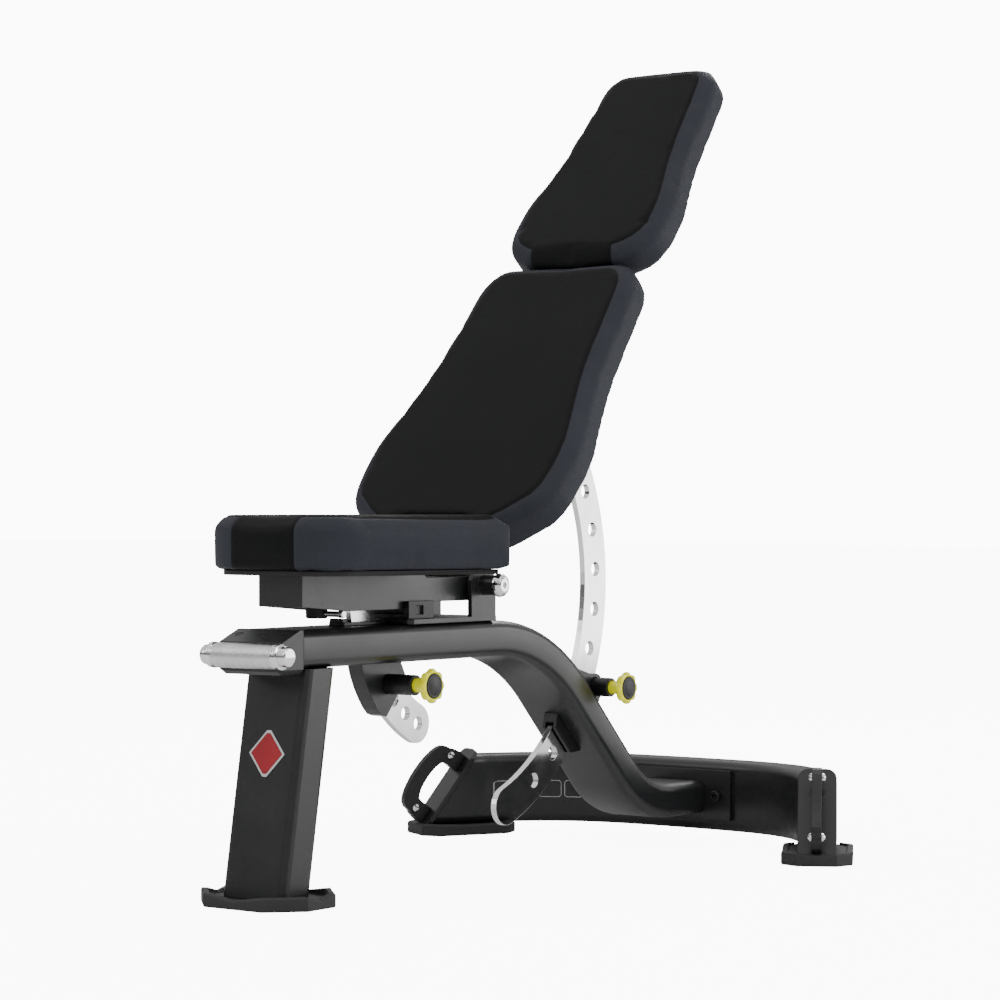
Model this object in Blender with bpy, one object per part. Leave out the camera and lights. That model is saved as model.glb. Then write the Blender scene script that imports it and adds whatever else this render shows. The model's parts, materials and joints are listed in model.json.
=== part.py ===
"""Adjustable weight bench.

Metres, +Z up, floor at Z = 0.  X runs across the bench, -Y is the seat end and +Y the rear beam.
Y is first measured from the front foot's centre, then shifted so the origin is under the middle.
"""
import bpy
import bmesh
import math
from mathutils import Matrix, Vector
from mathutils.geometry import tessellate_polygon

# ---- clearances -----------------------------------------------------------------------------
GAP = 0.0003            # faces that are welded, glued or bolted together
RUN = 0.0005            # faces that turn or slide past each other
SLOT_PLAY = 0.0022      # each side of a sector plate in its slots
HOLE_PLAY = 0.0002      # radial play of a bolt in its hole

# ---- pivot and working angles ---------------------------------------------------------------
PIVOT_Y, PIVOT_Z = 0.355, 0.362
BACK_RECLINE = math.radians(50.0)      # back pad above the horizontal, as stored
BACK_STEP = math.radians(10.0)         # between holes of the back sector
BACK_HOLES_DOWN, BACK_HOLES_UP = 5, 3  # flat at 0 degrees, steepest at 80 degrees
SEAT_STEP = math.radians(8.7)
SEAT_HOLES_UP = 3                      # seat lifts by 26.1 degrees
BACK_PIN_ANGLE = math.radians(27.3)    # pin axis below the horizontal, seen from the pivot
SEAT_PIN_ANGLE = math.radians(39.0)

# ---- main tube (spine) ----------------------------------------------------------------------
SPINE_W, SPINE_H, SPINE_R, TUBE_WALL = 0.095, 0.045, 0.012, 0.003
SPINE_Z = 0.2945                       # centre of the level front run
SPINE_FRONT_Y = 0.008
SPINE_BEND_Y = 0.385                   # where the downward bend starts
SPINE_LOW_Z = 0.0605
BEND_UP_R, BEND_LOW_R = 0.257, 0.145
SLOPE = math.radians(45.0)

# ---- front leg and foot ---------------------------------------------------------------------
LEG_W, LEG_D, LEG_R = 0.095, 0.052, 0.010
LEG_RAKE = math.radians(9.74)
LEG_FOOT_Y = -0.0036                   # leg centre where it stands in the foot
TRAY_FLOOR, TRAY_RIM, TRAY_DIP, TRAY_WALL = 0.008, 0.0165, 0.0105, 0.009
FRONT_FOOT_HX, FRONT_FOOT_HY, FRONT_FOOT_C = 0.0815, 0.0625, 0.038

# ---- rear beam ------------------------------------------------------------------------------
BEAM_D, BEAM_H, BEAM_R = 0.050, 0.096, 0.012
BEAM_BOTTOM = 0.014
BEAM_Y, BEAM_K2, BEAM_K4 = 0.892, 0.256, 16.7   # centre line y = BEAM_Y - K2 x^2 - K4 x^4
BEAM_END_X = 0.290                     # the line runs straight on from here
BEAM_RAKE = 0.745                      # end face leans out towards the floor, run per rise
END_FACE_S, END_FACE_Z = 0.013, 0.083  # a point of the end plate's outer face
END_PLATE_T, END_PLATE_W, END_PLATE_R = 0.006, 0.050, 0.014
END_PLATE_BOTTOM, END_PLATE_TOP = 0.0095, 0.118
REAR_FOOT_HL, REAR_FOOT_HW, REAR_FOOT_C = 0.0715, 0.0460, 0.020

# ---- grab handles on the beam ends ----------------------------------------------------------
GRAB_T, GRAB_BAND, GRAB_REACH = 0.0125, 0.019, 0.050
GRAB_HALF = 0.0565                     # half of its length along the end plate
GRAB_GAP_HALF = 0.0320                 # half length of the finger gap
GRAB_BOLT_HALF, GRAB_BOLT_OUT = 0.0446, 0.0205
GRAB_MID = 0.0710                      # its middle, down the plate from the plate's top edge

# ---- mounting plate between spine and beam ---------------------------------------------------
MOUNT_HW, MOUNT_T, MOUNT_Z0, MOUNT_Z1 = 0.090, 0.006, 0.030, 0.098
MOUNT_BOLT_X, MOUNT_BOLT_Z = 0.068, 0.0625

# ---- front handle ---------------------------------------------------------------------------
BAR_Y, BAR_Z, BAR_R = -0.036, 0.288, 0.015
BAR_GRIP_HALF, BAR_HALF = 0.0450, 0.0640
BLOCK_FRONT, BLOCK_LOW = -0.030, 0.266

# ---- pivot bracket --------------------------------------------------------------------------
BASE_HW, BASE_T, BASE_Y0, BASE_Y1 = 0.046, 0.006, 0.209, 0.381
CHEEK_T, CHEEK_HW = 0.006, 0.025
AXLE_R = 0.008
NUT_R, NUT_IN, NUT_OUT = 0.0148, 0.0685, 0.0785
SLEEVE_R = 0.015
REST_Y0, REST_Y1 = 0.211, 0.260        # cradle the seat frame lies on

# ---- seat -----------------------------------------------------------------------------------
FRAME_HW, FRAME_WALL = 0.033, 0.004
FRAME_FRONT, FRAME_TOP, FRAME_LOW = 0.022, 0.3787, 0.3357
FRAME_DIP = 0.3725                      # its top behind the cushion, clear of the tilted back pad
SEAT_BOARD_T = 0.0057
SEAT_Y0, SEAT_Y1 = -0.0105, 0.239
SEAT_HW0, SEAT_HW1, SEAT_R0, SEAT_R1 = 0.1085, 0.1725, 0.066, 0.007
SEAT_TOP, SEAT_SHOULDER, SEAT_CHAMFER = 0.448, 0.4335, 0.013

# ---- sector plates --------------------------------------------------------------------------
SECTOR_HT = 0.004                      # half thickness of both plates
BACK_SEC_RI, BACK_SEC_RO, BACK_SEC_RH = 0.280, 0.329, 0.3045
BACK_SEC_END = math.radians(69.5)      # centre of its round lower end, below the horizontal
BACK_HOLE_R = 0.0095
SEAT_SEC_RI, SEAT_SEC_RO, SEAT_SEC_RH = 0.163, 0.2115, 0.1865
SEAT_SEC_END = math.radians(64.5)
SEAT_HOLE_R = 0.0085

# ---- back -----------------------------------------------------------------------------------
FACE_OUT = 0.0875                      # pad face from the pivot axis
PAD_T, PAD_EDGE, PAD_EDGE_H = 0.050, 0.018, 0.016
BOARD_T = 0.008
BACK_TUBE_HW, BACK_TUBE_H, BACK_TUBE_END = 0.025, 0.040, 0.765
# half outlines of the two pad faces: distance up the back from the pivot, half width
LOWER_FACE = [(0.041, 0.0), (0.041, 0.020), (0.041, 0.045), (0.0385, 0.062), (0.036, 0.078), (0.040, 0.091),
              (0.048, 0.103), (0.060, 0.117),
              (0.073, 0.132), (0.088, 0.1400), (0.111, 0.1434), (0.137, 0.1446), (0.162, 0.1436),
              (0.187, 0.1384), (0.212, 0.1323), (0.238, 0.1266), (0.263, 0.1216), (0.288, 0.1176),
              (0.313, 0.1149), (0.339, 0.1130), (0.364, 0.1110), (0.389, 0.1092), (0.412, 0.1077),
              (0.430, 0.1050), (0.443, 0.1000), (0.4525, 0.0910), (0.4570, 0.0780), (0.4575, 0.0)]
HEAD_FACE = [(0.4985, 0.0), (0.4985, 0.058), (0.5015, 0.068), (0.507, 0.079), (0.514, 0.0900),
             (0.525, 0.0985), (0.539, 0.1022), (0.558, 0.1034), (0.578, 0.1030), (0.598, 0.1000),
             (0.619, 0.0953), (0.639, 0.0910), (0.660, 0.0872), (0.680, 0.0842), (0.700, 0.0823),
             (0.721, 0.0806), (0.741, 0.0790), (0.762, 0.0773), (0.782, 0.0755), (0.801, 0.0737),
             (0.813, 0.0708), (0.8215, 0.0640), (0.8265, 0.0530), (0.8275, 0.0)]

# ---- pull pins (both alike; X positions are for the drawn pin) --------------------------------
PIN_R, PIN_TRAVEL, PIN_TIP = 0.006, 0.011, 0.0058
BOSS_R, BOSS_BORE, BOSS_END = 0.0125, 0.0090, 0.0535
SHOULDER_X, SHOULDER_T, SHOULDER_R = 0.0228, 0.0020, 0.0086
FLANGE_X, FLANGE_T = 0.0335, 0.0025
NECK_R, NECK_IN, KNOB_R, KNOB_X, CAP_R = 0.0086, 0.0524, 0.0210, 0.0775, 0.0150
GUSSET_X0, GUSSET_T = 0.0195, 0.008
GUIDE_HW = 0.011                        # half width of both sector guides

# ---- derived --------------------------------------------------------------------------------
SPINE_TOP = SPINE_Z + SPINE_H / 2
SPINE_UNDER = SPINE_Z - SPINE_H / 2
BEAM_Z = BEAM_BOTTOM + BEAM_H / 2
MID_Y = ((BEAM_Y + BEAM_D / 2) - FRONT_FOOT_HY) / 2
SHIFT = Vector((0, -MID_Y, 0))
PIVOT = Vector((0, PIVOT_Y, PIVOT_Z))
UP_BACK = Vector((0, math.cos(BACK_RECLINE), math.sin(BACK_RECLINE)))
OUT_BACK = Vector((0, -math.sin(BACK_RECLINE), math.cos(BACK_RECLINE)))
BACK_PIN = PIVOT + BACK_SEC_RH * Vector((0, math.cos(BACK_PIN_ANGLE), -math.sin(BACK_PIN_ANGLE)))
SEAT_PIN = PIVOT + SEAT_SEC_RH * Vector((0, -math.cos(SEAT_PIN_ANGLE), -math.sin(SEAT_PIN_ANGLE)))


# ---- mesh helpers ---------------------------------------------------------------------------
def make_material(name, color, metallic, roughness):
    mat = bpy.data.materials.new(name)
    mat.use_nodes = True
    shader = mat.node_tree.nodes["Principled BSDF"]
    shader.inputs["Base Color"].default_value = (*color, 1.0)
    shader.inputs["Metallic"].default_value = metallic
    shader.inputs["Roughness"].default_value = roughness
    mat.diffuse_color = (*color, 1.0)
    return mat


LOOKS = {
    "frame": ((0.030, 0.031, 0.034), 0.3, 0.38),
    "trim": ((0.012, 0.012, 0.013), 0.2, 0.45),
    "chrome": ((0.80, 0.80, 0.82), 1.0, 0.08),
    "satin": ((0.62, 0.62, 0.64), 1.0, 0.30),
    "rubber": ((0.035, 0.035, 0.036), 0.0, 0.80),
    "yellow": ((0.76, 0.80, 0.01), 0.0, 0.35),
    "board": ((0.015, 0.015, 0.016), 0.0, 0.70),
    "leather": ((0.022, 0.022, 0.026), 0.0, 0.55),
    "badge": ((0.42, 0.02, 0.03), 0.0, 0.40),
    "steel": ((0.45, 0.45, 0.46), 1.0, 0.35),
}


def add(name, mesh, look, origin=(0, 0, 0), smooth=35.0):
    """Make the object from (verts, faces); its origin goes to the given point."""
    verts, faces = mesh
    origin = Vector(origin)
    data = bpy.data.meshes.new(name)
    data.from_pydata([Vector(v) - origin for v in verts], [], faces)
    bm = bmesh.new()
    bm.from_mesh(data)
    bmesh.ops.remove_doubles(bm, verts=bm.verts, dist=1e-6)
    bmesh.ops.recalc_face_normals(bm, faces=bm.faces)
    bm.to_mesh(data)
    bm.free()
    data.shade_smooth()
    data.set_sharp_from_angle(angle=math.radians(smooth))
    data.materials.append(make_material(name + "_" + look, *LOOKS[look]))
    obj = bpy.data.objects.new(name, data)
    obj.location = origin + SHIFT
    bpy.context.scene.collection.objects.link(obj)
    return obj


def cut(obj, mesh, operation="DIFFERENCE"):
    """Boolean the object with a hidden tool body."""
    verts, faces = mesh
    name = obj.name + "_tool" + str(len(obj.modifiers))
    data = bpy.data.meshes.new(name)
    data.from_pydata([Vector(v) for v in verts], [], faces)
    bm = bmesh.new()
    bm.from_mesh(data)
    bmesh.ops.recalc_face_normals(bm, faces=bm.faces)
    bm.to_mesh(data)
    bm.free()
    tool = bpy.data.objects.new(name, data)
    tool.location = SHIFT
    tool.display_type = "WIRE"
    tool.hide_render = True
    bpy.context.scene.collection.objects.link(tool)
    modifier = obj.modifiers.new(operation.lower(), "BOOLEAN")
    modifier.operation = operation
    modifier.solver = "EXACT"
    modifier.object = tool


def frame(origin, x_axis, y_axis, z_axis):
    """Matrix whose columns are the given axes (they may be sheared)."""
    m = Matrix.Identity(4)
    for i, axis in enumerate((x_axis, y_axis, z_axis, origin)):
        for j in range(3):
            m[j][i] = axis[j]
    return m


def moved(mesh, matrix):
    return [matrix @ Vector(v) for v in mesh[0]], mesh[1]


def prism(loops, z0, z1, matrix=Matrix.Identity(4)):
    """Extrude a flat region (outer loop first, then holes) from z0 to z1."""
    flat = [Vector((p[0], p[1], 0)) for loop in loops for p in loop]
    n = len(flat)
    verts = [Vector((p.x, p.y, z0)) for p in flat] + [Vector((p.x, p.y, z1)) for p in flat]
    tris = tessellate_polygon([[Vector((p[0], p[1], 0)) for p in loop] for loop in loops])
    faces = [tuple(t) for t in tris] + [tuple(i + n for i in reversed(t)) for t in tris]
    start = 0
    for loop in loops:
        m = len(loop)
        for i in range(m):
            a, b = start + i, start + (i + 1) % m
            faces.append((a, b, b + n, a + n))
        start += m
    return moved((verts, faces), matrix)


def plate_yz(loops, x0, x1):
    """Plate lying in the Y-Z plane, from x0 to x1; loop points are (y, z)."""
    return prism(loops, x0, x1, frame((0, 0, 0), (0, 1, 0), (0, 0, 1), (1, 0, 0)))


def plate_xy(loops, z0, z1):
    return prism(loops, z0, z1)


def loft(rings, close=False):
    """Skin a row of equal rings; the ends are capped unless the row closes on itself."""
    n = len(rings[0])
    verts = [Vector(v) for ring in rings for v in ring]
    faces = []
    count = len(rings)
    for k in range(count if close else count - 1):
        a, b = k * n, ((k + 1) % count) * n
        for i in range(n):
            j = (i + 1) % n
            faces.append((a + i, a + j, b + j, b + i))
    if not close:
        faces.append(tuple(range(n - 1, -1, -1)))
        faces.append(tuple(range((count - 1) * n, count * n)))
    return verts, faces


def tube(outer, inner, frames):
    """Hollow tube: outer and inner sections of equal count carried along the frames."""
    rings = [[m @ Vector((*p, 0)) for p in outer] for m in frames]
    rings += [[m @ Vector((*p, 0)) for p in inner] for m in reversed(frames)]
    return loft(rings, close=True)


def turned(profile, segments, centre, closed=False, lobes=0, lobe_from=1.0, lobe_depth=0.0):
    """Revolve (radius, x) points about an X axis through centre; r = 0 ends become poles."""
    verts, rings = [], []
    for r, x in profile:
        if r < 1e-9:
            rings.append([len(verts)])
            verts.append(Vector((x, centre[1], centre[2])))
            continue
        ring = []
        for i in range(segments):
            a = 2 * math.pi * i / segments
            rr = r
            if lobes and r > lobe_from:
                rr = r * (1 - lobe_depth * (0.5 - 0.5 * math.cos(lobes * a)))
            ring.append(len(verts))
            verts.append(Vector((x, centre[1] + rr * math.cos(a), centre[2] + rr * math.sin(a))))
        rings.append(ring)
    faces = []
    for k in range(len(rings) if closed else len(rings) - 1):
        a, b = rings[k], rings[(k + 1) % len(rings)]
        for i in range(segments):
            j = (i + 1) % segments
            if len(a) == 1:
                faces.append((a[0], b[i], b[j]))
            elif len(b) == 1:
                faces.append((a[i], a[j], b[0]))
            else:
                faces.append((a[i], a[j], b[j], b[i]))
    return verts, faces


def circle(cx, cy, r, n, phase=0.0):
    return [(cx + r * math.cos(phase + 2 * math.pi * i / n),
             cy + r * math.sin(phase + 2 * math.pi * i / n)) for i in range(n)]


def arc(cx, cy, r, a0, a1, n):
    return [(cx + r * math.cos(a0 + (a1 - a0) * i / n),
             cy + r * math.sin(a0 + (a1 - a0) * i / n)) for i in range(n + 1)]


def rounded(hx, hy, r, n=4):
    pts = []
    for cx, cy, a in ((hx - r, hy - r, 0), (r - hx, hy - r, 90), (r - hx, r - hy, 180),
                      (hx - r, r - hy, 270)):
        pts += arc(cx, cy, r, math.radians(a), math.radians(a + 90), n)
    return pts


def mirrored(mesh):
    return [Vector((-v[0], v[1], v[2])) for v in mesh[0]], mesh[1]


def offset_loop(loop, d):
    """Move a counter-clockwise loop outwards by d (inwards when negative)."""
    out = []
    n = len(loop)
    for i in range(n):
        p0, p1, p2 = (Vector(loop[(i + k) % n][:2]) for k in (-1, 0, 1))
        e0, e1 = (p1 - p0).normalized(), (p2 - p1).normalized()
        n0, n1 = Vector((e0.y, -e0.x)), Vector((e1.y, -e1.x))
        bis = (n0 + n1).normalized()
        out.append(tuple(p1 + bis * (d / max(0.5, bis.dot(n0)))))
    return out


# ---- spine ----------------------------------------------------------------------------------
def spine_path():
    """Centre line as (y, z, direction below the horizontal)."""
    pts = [(SPINE_FRONT_Y, SPINE_Z, 0.0)]
    for i in range(9):
        a = SLOPE * i / 8
        pts.append((SPINE_BEND_Y + BEND_UP_R * math.sin(a),
                    SPINE_Z - BEND_UP_R * (1 - math.cos(a)), a))
    drop = SPINE_Z - SPINE_LOW_Z - (BEND_UP_R + BEND_LOW_R) * (1 - math.cos(SLOPE))
    y1 = pts[-1][0] + drop / math.tan(SLOPE)
    for i in range(8, -1, -1):
        a = SLOPE * i / 8
        pts.append((y1 + BEND_LOW_R * (math.sin(SLOPE) - math.sin(a)),
                    SPINE_LOW_Z + BEND_LOW_R * (1 - math.cos(a)), a))
    pts.append((beam_front_y(SPINE_W / 2) - MOUNT_T - 2 * GAP, SPINE_LOW_Z, 0.0))
    return pts


def beam_point(x):
    """Centre line of the rear beam: y and the angle it turns towards the front."""
    if x <= BEAM_END_X:
        return (BEAM_Y - BEAM_K2 * x ** 2 - BEAM_K4 * x ** 4,
                math.atan(2 * BEAM_K2 * x + 4 * BEAM_K4 * x ** 3))
    y, a = beam_point(BEAM_END_X)
    return y - (x - BEAM_END_X) * math.tan(a), a


def beam_front_y(x):
    """Front face of the beam near its middle."""
    y, a = beam_point(x)
    return y - BEAM_D / 2 / math.cos(a)


def sector_slot(ri, ro, a0, a1, half_x):
    """Curved cutting body a sector plate sweeps through, angles below the horizontal."""
    n = 10
    loop = arc(PIVOT_Y, PIVOT_Z, ro, -a0, -a1, n) + arc(PIVOT_Y, PIVOT_Z, ri, -a1, -a0, n)
    return plate_yz([loop], -half_x, half_x)


def build_spine():
    frames = []
    for y, z, a in spine_path():
        frames.append(frame((0, y, z), (1, 0, 0), (0, math.sin(a), math.cos(a)),
                            (0, math.cos(a), -math.sin(a))))
    outer = rounded(SPINE_W / 2, SPINE_H / 2, SPINE_R, 4)
    inner = rounded(SPINE_W / 2 - TUBE_WALL, SPINE_H / 2 - TUBE_WALL, SPINE_R - TUBE_WALL, 4)
    spine = add("spine_tube", tube(outer, inner, frames), "frame", smooth=30)
    half = SECTOR_HT + SLOT_PLAY
    pi = math.pi
    cut(spine, sector_slot(SEAT_SEC_RI - 0.004, SEAT_SEC_RO + 0.004, pi - math.radians(3),
                           pi - math.radians(40), half))
    cut(spine, sector_slot(BACK_SEC_RI - 0.004, BACK_SEC_RO + 0.004, math.radians(20),
                           math.radians(48), half))


def slope_dir():
    return Vector((0, math.cos(SLOPE), -math.sin(SLOPE)))


def slope_normal():
    """Points away from the upper rear face of the sloping run."""
    return Vector((0, math.sin(SLOPE), math.cos(SLOPE)))


def slope_point(along, out):
    """Point by the sloping run: along it from the back sector's crossing, out from its axis."""
    y0 = SPINE_BEND_Y + BEND_UP_R * math.sin(SLOPE)
    z0 = SPINE_Z - BEND_UP_R * (1 - math.cos(SLOPE))
    base = Vector((0, y0, z0))
    lo, hi = -0.1, 0.4
    for _ in range(60):
        t = (lo + hi) / 2
        if (base + slope_dir() * t - PIVOT).length < BACK_SEC_RH:
            lo = t
        else:
            hi = t
    return base + slope_dir() * (lo + along) + slope_normal() * out


def build_front():
    # leg: a raked tube standing in the front foot
    outer = rounded(LEG_W / 2, LEG_D / 2, LEG_R, 3)
    inner = rounded(LEG_W / 2 - TUBE_WALL, LEG_D / 2 - TUBE_WALL, LEG_R - TUBE_WALL, 3)
    top_z = SPINE_UNDER - GAP
    frames = [frame((0, LEG_FOOT_Y + (z - TRAY_FLOOR) * math.tan(LEG_RAKE), z), (1, 0, 0), (0, 1, 0),
                    (0, 0, 1))
              for z in (TRAY_FLOOR + GAP, top_z)]
    add("front_leg", tube(outer, inner, frames), "frame", smooth=30)
    add("front_foot", tray(FRONT_FOOT_HY, FRONT_FOOT_HX, FRONT_FOOT_C, (0, 0), 0.0, TRAY_FLOOR, TRAY_DIP),
        "rubber")

    # badge on the leg's front face: a plain lozenge
    zc = 0.174
    yc = LEG_FOOT_Y - LEG_D / 2 + (zc - TRAY_FLOOR) * math.tan(LEG_RAKE)
    n_out = Vector((0, -math.cos(LEG_RAKE), math.sin(LEG_RAKE)))
    m = frame(Vector((0, yc, zc)) + n_out * GAP, (1, 0, 0), (0, math.sin(LEG_RAKE), math.cos(LEG_RAKE)),
              n_out)
    lozenge = [(0.027, 0.0), (0.003, 0.027), (-0.003, 0.027), (-0.027, 0.0), (-0.003, -0.027),
               (0.003, -0.027)]
    add("leg_badge", prism([lozenge], 0.0, 0.0010, m), "badge")

    # block on the spine's front end, saddled round the handle bar
    saddle_r = BAR_R + GAP
    half_angle = math.acos((BLOCK_FRONT - BAR_Y) / saddle_r)
    saddle = arc(BAR_Y, BAR_Z, saddle_r, half_angle, -half_angle, 10)
    slope_z = SPINE_TOP - 0.0135
    back_y = SPINE_FRONT_Y - GAP
    side = saddle + [(BLOCK_FRONT, BLOCK_LOW + 0.004), (BLOCK_FRONT + 0.004, BLOCK_LOW), (back_y, BLOCK_LOW),
                     (back_y, SPINE_TOP), (0.002, SPINE_TOP), (BLOCK_FRONT, slope_z)]
    chamfer = 0.006

    def section(x, lift):
        return [Vector((x, y, max(z, BLOCK_LOW + lift))) for y, z in side]

    hw = SPINE_W / 2
    block = add("handle_block", loft([section(-hw, chamfer), section(-hw + chamfer, 0.0),
                                      section(hw - chamfer, 0.0), section(hw, chamfer)]), "frame")
    add("handle_bar", turned([(0, -BAR_HALF), (0.0095, -BAR_HALF), (0.0115, -BAR_HALF + 0.002),
                              (0.0115, -BAR_GRIP_HALF - 0.0085), (BAR_R, -BAR_GRIP_HALF - 0.0080),
                              (BAR_R, -BAR_GRIP_HALF - 0.0020), (0.0135, -BAR_GRIP_HALF - 0.0015),
                              (0.0135, -BAR_GRIP_HALF - 0.0005), (BAR_R - 0.0004, -BAR_GRIP_HALF),
                              (BAR_R - 0.0004, BAR_GRIP_HALF), (0.0135, BAR_GRIP_HALF + 0.0005),
                              (0.0135, BAR_GRIP_HALF + 0.0015), (BAR_R, BAR_GRIP_HALF + 0.0020),
                              (BAR_R, BAR_GRIP_HALF + 0.0080), (0.0115, BAR_GRIP_HALF + 0.0085),
                              (0.0115, BAR_HALF - 0.002), (0.0095, BAR_HALF), (0, BAR_HALF)],
                             28, (0, BAR_Y, BAR_Z)), "chrome", smooth=28)
    # three countersunk screws in the block's sloping top
    run, rise = 0.002 - BLOCK_FRONT, SPINE_TOP - slope_z
    length = math.hypot(run, rise)
    tilt_n = Vector((0, -rise / length, run / length))
    top_mid = Vector((0, (0.002 + BLOCK_FRONT) / 2 + 0.003, 0))
    top_mid.z = slope_z + (top_mid.y - BLOCK_FRONT) * rise / run
    for i, x in enumerate((-0.034, 0.0, 0.034)):
        at = Vector((x, top_mid.y, top_mid.z))
        m = frame(at, tilt_n, (1, 0, 0), Vector((0, tilt_n.z, -tilt_n.y)))
        shape = [(0, -0.022), (0.0020, -0.022), (0.0025, -0.0215), (0.0025, -0.0030), (0.0048, -0.0006),
                 (0.0048, -0.0002), (0, -0.0002)]
        add("block_screw_%d" % (i + 1), moved(turned(shape, 14, (0, 0, 0)), m), "steel")
        wide = [(0, -0.0225), (0.0025 + HOLE_PLAY, -0.0225), (0.0025 + HOLE_PLAY, -0.0030),
                (0.0050 + HOLE_PLAY, -0.0005), (0.0050 + HOLE_PLAY, 0.003), (0, 0.003)]
        cut(block, moved(turned(wide, 14, (0, 0, 0)), m))


def octagon(hl, hw, c):
    """Elongated octagon with points added midway along its long sides."""
    pts = [(hl, -hw + c), (hl, 0), (hl, hw - c), (hl - c, hw), (0, hw), (c - hl, hw),
           (-hl, hw - c), (-hl, 0), (-hl, c - hw), (c - hl, -hw), (0, -hw), (hl - c, -hw)]
    return pts


def tray(hl, hw, c, centre, turn, floor, dip):
    """Rubber shoe: a low tray whose rim stands higher at the corners; local x is its long axis."""
    def ring(d, z_corner, z_mid):
        pts = offset_loop(octagon(hl, hw, c), d)
        mids = {1, 4, 7, 10}
        out = []
        for i, (u, v) in enumerate(pts):
            z = z_mid if i in mids else z_corner
            ca, sa = math.cos(turn), math.sin(turn)
            out.append(Vector((centre[0] + u * ca + v * sa, centre[1] - u * sa + v * ca, z)))
        return out
    rings = [ring(-0.0015, 0.0, 0.0), ring(0.0, 0.0015, 0.0015), ring(0.0, TRAY_RIM - 0.002, dip - 0.002),
             ring(-0.0015, TRAY_RIM, dip), ring(-TRAY_WALL + 0.0015, TRAY_RIM, dip),
             ring(-TRAY_WALL, floor, floor)]
    if turn == 0.0:
        # the front foot's long axis runs across the bench
        rings = [[Vector((v.y, v.x, v.z)) for v in r] for r in rings]
    return loft(rings)


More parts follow.
